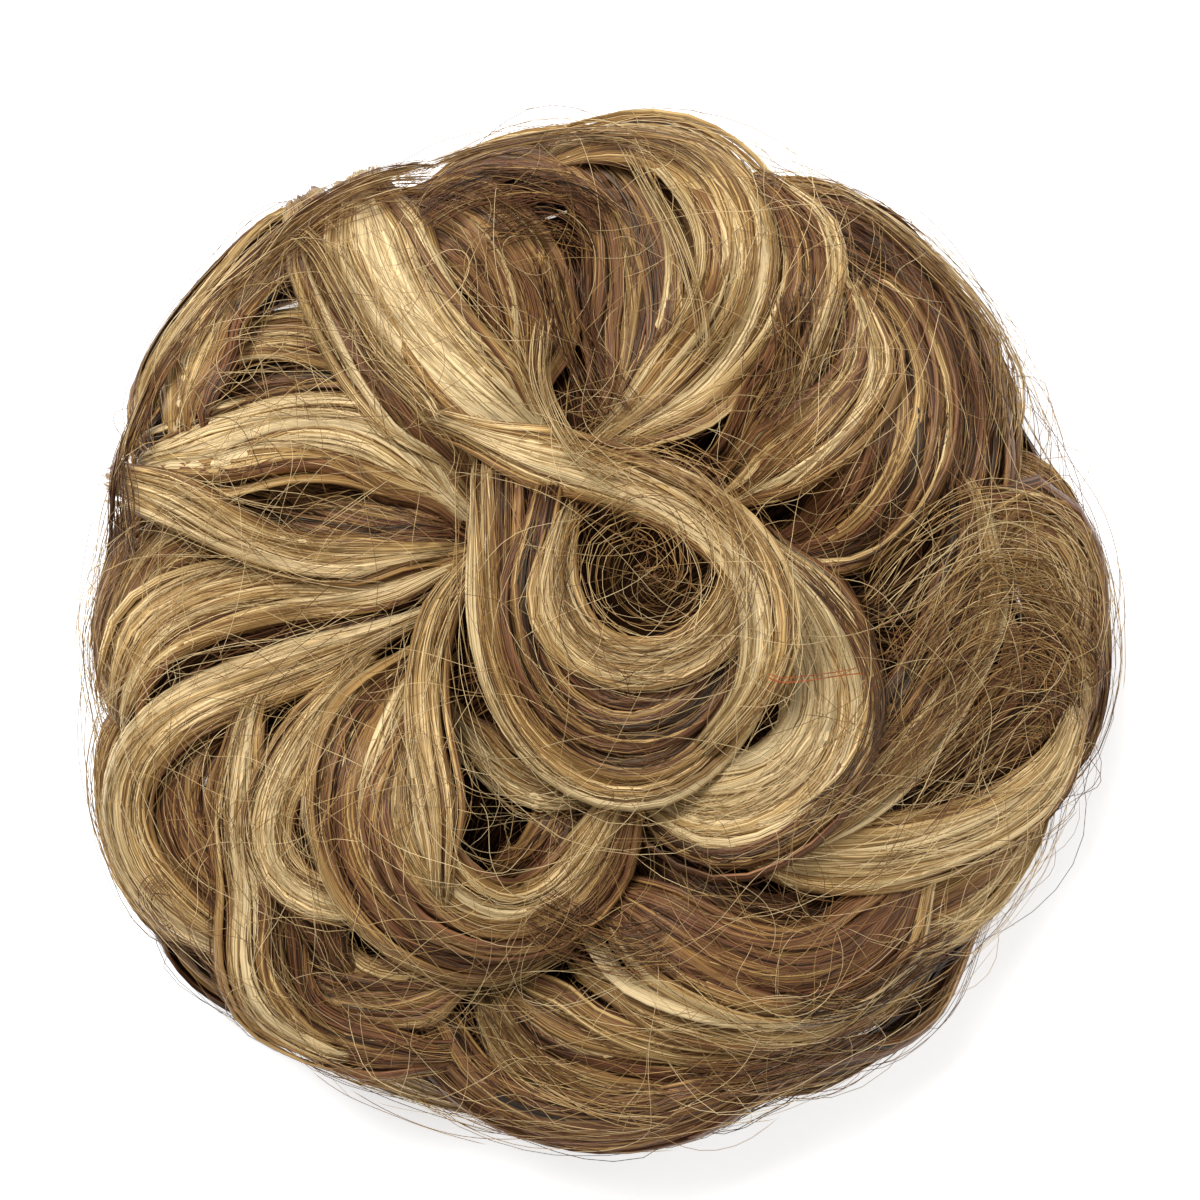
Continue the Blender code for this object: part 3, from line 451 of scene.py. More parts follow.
def tapered(share, taper, least):
    # 1 along the middle, down to the least at both ends
    return least + (1 - least) * eased(np.minimum(share, 1 - share) / taper)


def drawer(rng, count):
    # Gives a function that draws one number for each of the hairs
    def each(low, high):
        return rng.uniform(low, high, (count, 1))

    return each


def domeOutward(points):
    rise = np.where(points[..., 2] > dome["waistHeight"], dome["crownRise"], dome["waistHeight"])
    normal = np.stack([points[..., 0] / dome["outlineRadius"] ** 2,
                       points[..., 1] / dome["outlineRadius"] ** 2,
                       (points[..., 2] - dome["waistHeight"]) / rise ** 2], axis=-1)
    normal /= np.linalg.norm(normal, axis=-1, keepdims=True)
    leaning = (1 - dome["levelLean"]) * normal + dome["levelLean"] * np.array([0, 0, 1.0])
    return leaning / np.linalg.norm(leaning, axis=-1, keepdims=True)


def solidMiddle(node, plan):
    # The middle height of a lock's solid under each place of the plan
    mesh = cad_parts[node].data
    tree = BVHTree.FromPolygons([v.co for v in mesh.vertices], [p.vertices[:] for p in mesh.polygons])
    places, heights = [], []
    for k, (x, y) in enumerate(plan):
        top = tree.ray_cast(Vector((x, y, 1)), Vector((0, 0, -1)))[0]
        foot = tree.ray_cast(Vector((x, y, -1)), Vector((0, 0, 1)))[0]
        if top is not None and foot is not None:
            places.append(k)
            heights.append((top.z + foot.z) / 2)
    return np.interp(np.arange(len(plan)), places, heights)


def endShape(count, root, tip):
    # Width and thickness along a lock, as shares of its full ones
    share = np.linspace(0, 1, count)
    easeRoot = eased(share / locks["endTaper"])
    easeTip = eased((1 - share) / locks["endTaper"])
    width = np.minimum(root + (1 - root) * easeRoot, tip + (1 - tip) * easeTip)
    thickness = locks["endThickness"] + (1 - locks["endThickness"]) * np.minimum(easeRoot, easeTip)
    return width, thickness


class Course:
    # A lock's middle line, with its directions and half sizes at each sample, and a tail at either end
    def __init__(self, middle, width, thickness, root, tip):
        wide, thick = endShape(len(middle), root, tip)
        tail = locks["tailSteps"]
        first = tailFrom(middle[0], middle[0] - middle[1])[::-1]
        last = tailFrom(middle[-1], middle[-1] - middle[-2])
        middle = np.vstack([first, middle, last])
        fade = np.linspace(1, locks["tailWidth"], tail + 1)[1:]
        wide = np.concatenate([wide[0] * fade[::-1], wide, wide[-1] * fade])
        thick = np.concatenate([thick[0] * fade[::-1], thick, thick[-1] * fade])
        self.middle = np.stack([softened(middle[:, k], 1) for k in range(3)], axis=-1)
        self.count = len(middle)
        self.tail = tail
        self.run = np.concatenate([[0], np.cumsum(np.linalg.norm(np.diff(self.middle, axis=0), axis=1))])
        along = np.gradient(self.middle, axis=0)
        along /= np.linalg.norm(along, axis=1, keepdims=True)
        across = np.cross(domeOutward(self.middle), along)
        self.across = across / np.linalg.norm(across, axis=1, keepdims=True)
        self.outward = np.cross(along, self.across)
        self.fullWidth = width * locks["width"]
        self.halfWidth = wide * self.fullWidth / 2
        self.halfThickness = thick * thickness * locks["thickness"] / 2

    def at(self, values, run):
        # Values of the samples, read at distances along the course
        values = values.reshape(self.count, -1)
        return np.stack([np.interp(run, self.run, values[:, k]) for k in range(values.shape[1])], axis=-1)


def tailFrom(end, heading):
    # Points that go on from a lock's end and bend down into the pile
    points, place = [], np.array(end, float)
    heading = heading / np.linalg.norm(heading)
    for _ in range(locks["tailSteps"]):
        outward = domeOutward(place)
        heading = heading - (locks["tailBend"] + locks["rimBend"] * max(0, heading @ outward)) * outward
        heading /= np.linalg.norm(heading)
        place = place + locks["tailStep"] * heading
        place[2] = max(place[2], 1.5 * mm)
        points.append(place)
    return np.array(points)


def lockCourse(node, width, thickness, root, tip, route):
    scaled = np.array(route) * dome["outlineRadius"]
    count = max(locks["fewestSamples"], int(lengthOf(scaled) / locks["sampleSpacing"]))
    plan = smoothCurve(scaled, count)
    heights = softened(solidMiddle(node, plan), 2)
    return Course(np.column_stack([plan, heights]), width, thickness, root, tip)


# Hairs: closed tubes, laid side by side

class Tubes:
    # Gathers tubes from arrays, with the fibre and tint that the hair look reads
    def __init__(self):
        self.corners, self.faces, self.fibres, self.tints = [], [], [], []
        self.total = 0

    def lay(self, paths, wide, thick, tints, outward, sides=3, lean=0.0, roll=0.0):
        # paths is tube by sample by 3; half sizes, tints and roll are tube by sample; lean is one a tube
        tubes, samples = paths.shape[:2]
        along = np.gradient(paths, axis=1)
        along /= np.maximum(np.linalg.norm(along, axis=2, keepdims=True), 1e-9)
        side = np.cross(outward, along)
        side /= np.maximum(np.linalg.norm(side, axis=2, keepdims=True), 1e-9)
        up = np.cross(along, side)
        roll = np.broadcast_to(roll, (tubes, samples))[..., None]
        side, up = side * np.cos(roll) - up * np.sin(roll), up * np.cos(roll) + side * np.sin(roll)
        turn = math.tau * (np.arange(sides) / sides + (0.25 if sides == 3 else 0.5 / sides))
        inner = samples - 2
        rings = (paths[:, 1:-1, None]
                 + wide[:, 1:-1, None, None] * np.cos(turn)[:, None] * side[:, 1:-1, None]
                 + thick[:, 1:-1, None, None] * np.sin(turn)[:, None] * up[:, 1:-1, None])
        block = np.concatenate([paths[:, :1], rings.reshape(tubes, inner * sides, 3), paths[:, -1:]], axis=1)
        ring = 1 + sides * np.arange(inner)[:, None] + np.arange(sides)
        after = np.roll(ring, -1, axis=1)
        quads = np.stack([ring[:-1], after[:-1], after[1:], ring[1:]], axis=-1).reshape(-1, 4)
        first = np.stack([np.zeros(sides, int), after[0], ring[0]], axis=-1)
        last = np.stack([np.full(sides, sides * inner + 1), ring[-1], after[-1]], axis=-1)
        size = sides * inner + 2
        starts = self.total + size * np.arange(tubes)
        for shape in (quads, first, last):
            self.faces.extend((starts[:, None, None] + shape).reshape(-1, shape.shape[1]).tolist())
        steps = np.linalg.norm(np.diff(paths, axis=1), axis=2)
        run = np.concatenate([np.zeros((tubes, 1)), np.cumsum(steps, axis=1)], axis=1) / mm
        spread = wide.max(axis=1, keepdims=True)[..., None] / mm * np.cos(turn)
        offset = ((self.total % 97) + 13.7 * np.arange(tubes))[:, None, None] % 761
        across = np.broadcast_to(offset + spread, (tubes, inner, sides)).reshape(tubes, -1)
        middle = offset[:, 0]
        acrossAll = np.concatenate([middle, across, middle], axis=1)
        alongAll = np.concatenate([run[:, :1], np.repeat(run[:, 1:-1], sides, axis=1), run[:, -1:]], axis=1)
        shown = tints[:, 1:-1, None] + np.reshape(lean, (-1, 1, 1)) * np.cos(turn)
        shown = np.broadcast_to(shown, (tubes, inner, sides)).reshape(tubes, -1)
        self.corners.append(block.reshape(-1, 3))
        self.fibres.append(np.stack([acrossAll, alongAll, np.zeros_like(alongAll)], axis=-1).reshape(-1, 3))
        self.tints.append(np.concatenate([tints[:, :1], shown, tints[:, -1:]], axis=1).ravel())
        self.total += size * tubes

    def builder(self):
        # The tubes as a bmesh that other shapes can join
        mesh = bpy.data.meshes.new("tubes")
        mesh.from_pydata(np.vstack(self.corners).tolist(), [], self.faces)
        fibre = mesh.attributes.new("fibre", "FLOAT_VECTOR", "POINT")
        fibre.data.foreach_set("vector", np.vstack(self.fibres).ravel())
        tint = mesh.attributes.new("tint", "FLOAT", "POINT")
        tint.data.foreach_set("value", np.concatenate(self.tints))
        made = bmesh.new()
        made.from_mesh(mesh)
        bpy.data.meshes.remove(mesh)
        return made


def tintAcross(tints, place):
    # The tint at a place across the lock, from -1 on its right to 1 on its left
    return np.interp(-place, np.linspace(-1, 1, len(tints)), tints)


def growCore(builder, course, tints):
    # The dense hair inside a lock: a circle, extruded from sample to sample, its tint lowered as painted
    # shade
    fibreLayer = builder.verts.layers.float_vector["fibre"]
    tintLayer = builder.verts.layers.float["tint"]
    sides = locks["coreSides"]
    circle = bmesh.ops.create_circle(builder, cap_ends=True, segments=sides, radius=1)["verts"]
    start = circle[0].link_faces[0]
    face = start
    turn = math.tau * (np.arange(sides) + 0.5) / sides
    samples = np.arange(course.tail - 1, course.count - course.tail + 1)
    for k in samples:
        if k > samples[0]:
            grown = bmesh.ops.extrude_face_region(builder, geom=[face])["geom"]
            if face is not start:
                bmesh.ops.delete(builder, geom=[face], context="FACES_ONLY")
            face = next(piece for piece in grown if isinstance(piece, bmesh.types.BMFace))
        share = (k - samples[0]) / (samples[-1] - samples[0])
        ends = tapered(share, locks["coreTaper"], locks["coreEnd"])
        wide = np.cos(turn) * course.halfWidth[k] * locks["coreWidth"] * ends
        tall = np.sin(turn) * course.halfThickness[k] * locks["coreThickness"] * ends
        places = course.middle[k] + wide[:, None] * course.across[k] + tall[:, None] * course.outward[k]
        # painted shade: the core's tint lowered below the lock's own
        shown = tintAcross(tints, np.cos(turn)) - locks["corePaintedShade"]
        for corner, place, turned, tint in zip(face.verts, places, np.cos(turn), shown):
            corner.co = place
            sideways = turned * course.fullWidth / 2 / mm + locks["coreStreaks"]
            corner[fibreLayer] = (sideways, course.run[k] / mm, 0)
            corner[tintLayer] = tint


def hairPaths(course, sort, rng):
    # Where the hairs of one sort run: across the lock, with slow wander, strays and ends that don't line up
    widths = (course.fullWidth / locks["width"]) ** locks["crowding"]
    count = max(sort["fewest"], int(sort["perWidth"] * widths))
    samples = max(9, int(course.run[-1] / sort["spacing"]))
    each = drawer(rng, count)
    total = course.run[-1]
    inset = course.run[course.tail]
    outset = total - course.run[-1 - course.tail]
    begin = inset * (1 - sort["endSpread"] * each(0.1, 1) ** 0.7)
    stop = total - outset * (1 - sort["endSpread"] * each(0.1, 1) ** 0.7)
    share = np.linspace(0, 1, samples)
    run = begin + (stop - begin) * share

    def waves(least, most):
        turns = each(least, most)
        return np.sin(math.tau * (turns * share + each(0, 1)))

    start = np.linspace(-0.96, 0.96, count)[:, None] + each(-0.8, 0.8) / count
    upper = rng.permutation(count)[:, None] < sort["upperShare"] * count
    spot = start + sort["wander"] * waves(0.4, 1.3)
    crossing = each(0, 1) < sort["crossers"]
    slant = rng.choice([-1, 1], (count, 1)) * (share - 0.5)
    spot = spot + crossing * slant * each(0.5, 1.3)
    stray = each(0, 1) < sort["strays"]
    away = (share - each(0, 0.5)) / each(0.35, 0.9)
    leaves = stray * np.sin(math.pi * np.clip(away, 0, 1))
    spot = spot + sort["strayReach"] * leaves * np.sign(start) * each(0.2, 1)
    inside = np.clip(spot, -1, 1)
    rise = np.sqrt(np.clip(1 - np.abs(inside) ** locks["roundness"], 0, 1)) * np.where(upper, 1, -1)
    lift = sort["lift"] * (each(0, 1) + 0.4 * waves(0.6, 1.8) + 0.8 * leaves)
    middle = course.at(course.middle, run)
    across = course.at(course.across, run)
    outward = course.at(course.outward, run)
    halfWidth = course.at(course.halfWidth, run)[..., 0]
    halfThickness = course.at(course.halfThickness, run)[..., 0]
    reach = np.where(np.abs(spot) > 1, course.fullWidth / 2 * 0.6 + 0.4 * halfWidth, halfWidth)
    wide = inside * halfWidth * 0.96 + (spot - inside) * reach
    tall = rise * halfThickness * sort["sink"] + np.where(rise > 0, 1, -0.4) * lift
    paths = middle + wide[..., None] * across + tall[..., None] * outward
    return paths, share, inside, upper, outward


def layLock(tubes, course, tints, rng):
    narrow = course.halfWidth.max() * 2 / locks["width"]
    paths, share, spot, upper, outward = hairPaths(course, ribbons, rng)
    count = len(paths)
    each = drawer(rng, count)
    wide = ribbons["halfWidth"] * course.fullWidth * each(0.75, 1.25)
    wide = wide * tapered(share, ribbons["taper"], ribbons["endWidth"])
    thick = ribbons["halfThickness"] * each(0.8, 1.2) * min(1, 0.5 + narrow / 2)  # thinner on a narrow lock
    thick = thick * tapered(share, ribbons["taper"], ribbons["endThickness"])
    roll = spot * ribbons["roll"] + rng.normal(0, ribbons["rollSpread"], (count, 1))
    roll = np.where(upper, roll, math.pi - roll)
    shown = tintAcross(tints, spot) + rng.normal(0, ribbons["tintSpread"], (count, 1))
    lean = rng.normal(0, ribbons["lean"], count)
    tubes.lay(paths, wide, thick, shown, outward, ribbons["sides"], lean, roll)
    for sort in (strandSort, looseSort):
        paths, share, spot, upper, outward = hairPaths(course, sort, rng)
        count = len(paths)
        radii = sort["radius"] * drawer(rng, count)(0.75, 1.2)
        thick = radii * tapered(share, sort["taper"], sort["endThickness"])
        shown = tintAcross(tints, spot) + rng.normal(0, sort["tintSpread"], (count, 1))
        tubes.lay(paths, thick, thick, shown, outward)


def finishPiece(builder, name, finish, node=None):
    builder.normal_update()
    mesh = bpy.data.meshes.new(name)
    builder.to_mesh(mesh)
    builder.free()
    mesh.materials.append(finish)
    mesh.shade_smooth()
    piece = bpy.data.objects.new(name, mesh)
    bpy.context.scene.collection.objects.link(piece)
    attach(piece, "root")
    if node:
        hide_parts(node)
    return piece


def dressLock(name, node, course, tints, seed):
    rng = np.random.default_rng(seed)
    tubes = Tubes()
    layLock(tubes, course, tints, rng)
    builder = tubes.builder()
    laid = len(builder.faces)
    growCore(builder, course, tints)
    builder.faces.ensure_lookup_table()
    bmesh.ops.recalc_face_normals(builder, faces=builder.faces[laid:])
    return finishPiece(builder, name, hair, node)


for number, (node, tone, width, thickness, root, tip, tints, route) in enumerate(lockRows):
    course = lockCourse(node, width, thickness, root, tip, route)
    dressLock(node + "_hair", node, course, tints, 100 + number)
print("locks laid:", len(lockRows))


# The loops tucked under the waist

underLoops = {
    "count": 5,
    "span": math.radians(62),
    "sections": 7,
    "samples": 22,
    "width": 0.95,
    "end": 0.5,
    "tints": (0.3, 0.5, 0.35, 0.6),
}


def underCourse(number):
    # The middle of the solid's corners near each of its sections
    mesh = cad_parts[f"under_loop_{number + 1}"].data
    corners = np.array([v.co for v in mesh.vertices])
    middle = math.tau * (number + 0.5) / underLoops["count"]
    azimuth = np.arctan2(corners[:, 1], corners[:, 0]) - middle
    azimuth = (azimuth + math.pi) % math.tau - math.pi
    points = []
    step = underLoops["span"] / (underLoops["sections"] - 1)
    for k in range(underLoops["sections"]):
        near = np.abs(azimuth - (k * step - underLoops["span"] / 2)) < step / 2
        points.append(np.unique(corners[near].round(6), axis=0).mean(axis=0))
    return Course(smoothCurve(points, underLoops["samples"]), underLoops["width"], 1.0, underLoops["end"],
                  underLoops["end"])


for number in range(underLoops["count"]):
    loop = f"under_loop_{number + 1}"
    dressLock(loop + "_hair", loop, underCourse(number),
              underLoops["tints"], 300 + number)
print("under loops laid:", underLoops["count"])


# The gathered bed, hollow below

bed = {
    "radius": 61.5 * mm,
    "footRadius": 48 * mm,
    "crownHeight": 25 * mm,
    "moundRise": 10 * mm,
    "moundRadius": 44 * mm,
    "hollowRadius": 23.5 * mm,
    "hollowHeight": 18.5 * mm,
    "hollowWallHeight": 13 * mm,
    "rebateRadius": 28.4 * mm,
    "rebateHeight": 5.8 * mm,
    "wallRings": 14,
    "steps": 144,
    "flutes": 24,
    "fluteDepth": 1.1 * mm,
    # painted shade: the bed's brown hair taken down to the ramp's darkest, so the gaps between the locks read
    # dark
    "darkHairAndShadeTint": 0.02,
    "strands": 650,
    "strandRise": 0.3 * mm,  # of their start, off the table
    "profilePoints": 60,
    "strandSamples": 15,
    "strandRadius": 0.2 * mm,
    "strandTint": 0.34,
    "strandTintSpread": 0.16,
    "strandStand": 0.25 * mm,  # how far the strands stand off the core
    "sway": 0.22,  # radians that a strand may drift round the bed
}


def bedWall():
    # From the rebate round the foot, up the outer wall and over to the axis
    points = [(bed["hollowRadius"], bed["rebateHeight"]), (bed["rebateRadius"], bed["rebateHeight"]),
              (bed["rebateRadius"], 0), (bed["footRadius"], 0)]
    rings = bed["wallRings"]
    for k in range(1, rings // 2):
        turn = math.pi / 2 * k / (rings // 2)
        points.append((bed["footRadius"] + (bed["radius"] - bed["footRadius"]) * math.sin(turn),
                       dome["waistHeight"] * (1 - math.cos(turn))))
    for k in range(rings + 1):
        turn = math.pi / 2 * k / rings
        radius = bed["radius"] * math.cos(turn)
        rise = (bed["crownHeight"] - dome["waistHeight"]) * math.sin(turn)
        mound = bed["moundRise"] * (0.5 + 0.5 * math.cos(math.pi * min(1, radius / bed["moundRadius"])))
        points.append((radius, dome["waistHeight"] + rise + mound))
    return points


def bedCeiling():
    points = [(0, bed["hollowHeight"])]
    rings = bed["wallRings"] // 2
    for k in range(1, rings + 1):
        turn = math.pi / 2 * k / rings
        points.append((bed["hollowRadius"] * math.sin(turn), bed["hollowWallHeight"]
                       + (bed["hollowHeight"] - bed["hollowWallHeight"]) * math.cos(turn)))
    return points


def growBed(builder):
    fibreLayer = builder.verts.layers.float_vector["fibre"]
    tintLayer = builder.verts.layers.float["tint"]
    before = set(builder.verts)
    line = bedCeiling() + bedWall()
    corners = [builder.verts.new((radius, 0, height)) for radius, height in line]
    edges = [builder.edges.new(pair) for pair in zip(corners, corners[1:])]
    bmesh.ops.spin(builder, geom=corners + edges, angle=math.tau, steps=bed["steps"], axis=(0, 0, 1),
                   cent=(0, 0, 0), use_merge=True)
    grown = [corner for corner in builder.verts if corner not in before]
    bmesh.ops.remove_doubles(builder, verts=grown, dist=1e-6)
    grown = [corner for corner in builder.verts if corner not in before]
    for corner in grown:
        radius = math.hypot(corner.co.x, corner.co.y)
        azimuth = math.atan2(corner.co.y, corner.co.x)
        if radius > bed["rebateRadius"] + 0.5 * mm:
            share = (radius - bed["rebateRadius"]) / (bed["radius"] - bed["rebateRadius"])
            grow = 1 + bed["fluteDepth"] * share * math.cos(bed["flutes"] * azimuth) / radius
            corner.co.x *= grow
            corner.co.y *= grow
        corner[fibreLayer] = (abs(azimuth) * bed["radius"] / mm, radius / mm, 0)
        # painted shade: the darkest tint on the bed's core
        corner[tintLayer] = bed["darkHairAndShadeTint"]
    faces = list({face for corner in grown for face in corner.link_faces})
    bmesh.ops.recalc_face_normals(builder, faces=faces)


def bedStrands(rng):
    # Hairs gathered at the band, over the foot and up the wall
    wall = np.array(bedWall()[2:])
    wall[0, 1] = bed["strandRise"]
    profile = smoothCurve(wall, bed["profilePoints"])
    each = drawer(rng, bed["strands"])
    stop = each(0.35, 0.98)
    share = 0.02 + (stop - 0.02) * np.linspace(0, 1, bed["strandSamples"])
    at = share * (len(profile) - 1)
    radius = np.interp(at, np.arange(len(profile)), profile[:, 0])
    height = np.interp(at, np.arange(len(profile)), profile[:, 1])
    slope = np.gradient(profile, axis=0)
    outR, outZ = slope[:, 1], -slope[:, 0]
    size = np.hypot(outR, outZ)
    outR = np.interp(at, np.arange(len(profile)), outR / size)
    outZ = np.interp(at, np.arange(len(profile)), outZ / size)
    turns = each(0.5, 1.6)
    azimuth = each(0, math.tau) + bed["sway"] * share * np.sin(
        math.tau * (turns * share + each(0, 1)))
    stand = bed["strandStand"] * each(0.2, 1.6)
    past = (radius - bed["rebateRadius"]) / (bed["radius"] - bed["rebateRadius"])
    flute = bed["fluteDepth"] * np.clip(past, 0, 1)
    radius = radius + outR * stand + flute * np.cos(bed["flutes"] * azimuth)
    height = np.maximum(height + outZ * stand, bed["strandRadius"])
    paths = np.stack([radius * np.cos(azimuth), radius * np.sin(azimuth), height], axis=-1)
    outward = np.stack([outR * np.cos(azimuth), outR * np.sin(azimuth), outZ], axis=-1)
    radii = bed["strandRadius"] * each(0.6, 1.1) + 0 * share
    tints = rng.normal(bed["strandTint"], bed["strandTintSpread"], (bed["strands"], 1))
    tints = np.broadcast_to(tints, share.shape)
    return paths, radii, radii, tints, outward


def dressBed():
    rng = np.random.default_rng(11)
    tubes = Tubes()
    tubes.lay(*bedStrands(rng))
    builder = tubes.builder()
    growBed(builder)
    return finishPiece(builder, "gathered_bed", shadedHair, "hair_bed")


dressBed()
print("bed gathered")


# The covered elastic band

band = {
    "innerRadius": 22.5 * mm,
    "width": 5.6 * mm,
    "height": 5.2 * mm,
    "clearance": 0.3 * mm,
    "steps": 192,
    "cornerPoints": 20,
    "ribs": 12,
    "ribDepth": 0.14 * mm,
    "gathers": 48,
    "gatherDepth": 0.22 * mm,
    "yarnsPerMm": 2.6,
    "dark": (26, 19, 15),
    "light": (66, 48, 38),
    "roughness": 0.82,
    "bumpStrength": 0.6,
    "bumpDistance": 0.2 * mm,
}


def knittedCover(name):
    # Ribbed knit over the elastic, its yarns crossing
    bench = Bench(name)
    around = bench.attribute("fibre", "Vector")
    yarns = bench.node("ShaderNodeTexWave", {"wave_type": "BANDS", "bands_direction": "DIAGONAL"},
                       {"Vector": around, "Scale": band["yarnsPerMm"] / 2, "Distortion": 1.2, "Detail": 1.0})
    fuzz = bench.noise(around, 3.0)
    weave = yarns * 0.6 + fuzz * 0.4
    stops = [(0.15, linear(*band["dark"])), (0.9, linear(*band["light"]))]
    colour = bench.node("ShaderNodeValToRGB", {"stops": stops}, {"Fac": weave})
    bench.plug(bench.shader.inputs["Base Color"], colour)
    bench.plug(bench.shader.inputs["Roughness"], band["roughness"] + (fuzz - 0.5) * 0.2)
    bench.plug(bench.shader.inputs["Normal"], bench.bump(weave, band["bumpStrength"], band["bumpDistance"]))
    return bench.finish


def makeBand():
    builder = bmesh.new()
    builder.verts.layers.float_vector.new("fibre")
    fibreLayer = builder.verts.layers.float_vector["fibre"]
    middle = Vector((band["innerRadius"] + band["width"] / 2, 0, band["clearance"] + band["height"] / 2))
    circle = bmesh.ops.create_circle(builder, cap_ends=False, segments=band["cornerPoints"], radius=1)
    corners = circle["verts"]
    for corner in corners:
        turn = math.atan2(corner.co.y, corner.co.x)
        square = [math.copysign(abs(part) ** 0.6, part) for part in (math.cos(turn), math.sin(turn))]
        corner.co = middle + Vector((square[0] * band["width"] / 2, 0, square[1] * band["height"] / 2))
    loop = list({edge for corner in corners for edge in corner.link_edges})
    bmesh.ops.spin(builder, geom=corners + loop, angle=math.tau, steps=band["steps"], axis=(0, 0, 1),
                   cent=(0, 0, 0), use_merge=True)
    bmesh.ops.remove_doubles(builder, verts=builder.verts, dist=1e-6)
    for corner in builder.verts:
        azimuth = math.atan2(corner.co.y, corner.co.x)
        radius = math.hypot(corner.co.x, corner.co.y)
        offset = Vector((radius - middle.x, corner.co.z - middle.z))
        turn = math.atan2(offset.y, offset.x)
        inward = band["ribDepth"] * (0.5 + 0.5 * math.cos(band["ribs"] * turn))
        inward += band["gatherDepth"] * (0.5 + 0.5 * math.cos(band["gathers"] * azimuth))
        offset *= 1 - inward / offset.length
        radius = middle.x + offset.x
        corner.co = (radius * math.cos(azimuth), radius * math.sin(azimuth), middle.z + offset.y)
        corner[fibreLayer] = (abs(azimuth) * middle.x / mm, abs(turn) * band["width"] / 2 / mm, 0)
    bmesh.ops.recalc_face_normals(builder, faces=builder.faces)
    return finishPiece(builder, "knitted_band", knittedCover("knitted_cover"), "elastic_band")


makeBand()
print("band made")


# The finest hairs: flyaways over the locks, wisps and the fuzz at the outline

class TopMap:
    # The height of the topmost hair on a flat grid
    def __init__(self, cell, reach, spreads):
        self.cell = cell
        self.half = int(reach / cell)
        self.height = np.zeros((2 * self.half + 1, 2 * self.half + 1))
        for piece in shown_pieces():
            corners = np.zeros(len(piece.data.vertices) * 3)
            piece.data.vertices.foreach_get("co", corners)
            corners = corners.reshape(-1, 3)
            row, column = self.cells(corners[:, 0], corners[:, 1])
            np.maximum.at(self.height, (row, column), corners[:, 2])
        for _ in range(spreads):
            self.height = self.spread(self.height)

    def spread(self, height):
        grown = height.copy()
        for down in (-1, 0, 1):
            for across in (-1, 0, 1):
                grown = np.maximum(grown, np.roll(height, (down, across), axis=(0, 1)))
        return grown

    def cells(self, x, y):
        limit = 2 * self.half
        return (np.clip(np.rint(y / self.cell + self.half), 0, limit).astype(int),
                np.clip(np.rint(x / self.cell + self.half), 0, limit).astype(int))

    def top(self, x, y):
        row, column = self.cells(x, y)
        return self.height[row, column]


topMap = TopMap(cell=1 * mm, reach=90 * mm, spreads=2)

flyaways = {
    "count": 320,
    "samples": 20,
    "radius": 0.045 * mm,
    "reach": 0.95,  # of the outline radius
    "length": (14 * mm, 52 * mm),
    "bend": 1.7,  # radians over the length
    "curl": 0.55,
    "lift": (0.2 * mm, 1.4 * mm),
    "tints": (0.65, 1.05),
    "seed": 41,
}

wisps = {
    "samples": 26,
    "radius": 0.07 * mm,
    "wander": 0.22,
    "endSpread": 0.12,  # of the length
    "lift": (0.1 * mm, 0.9 * mm),
    "tintSpread": 0.14,
    "seed": 45,
}
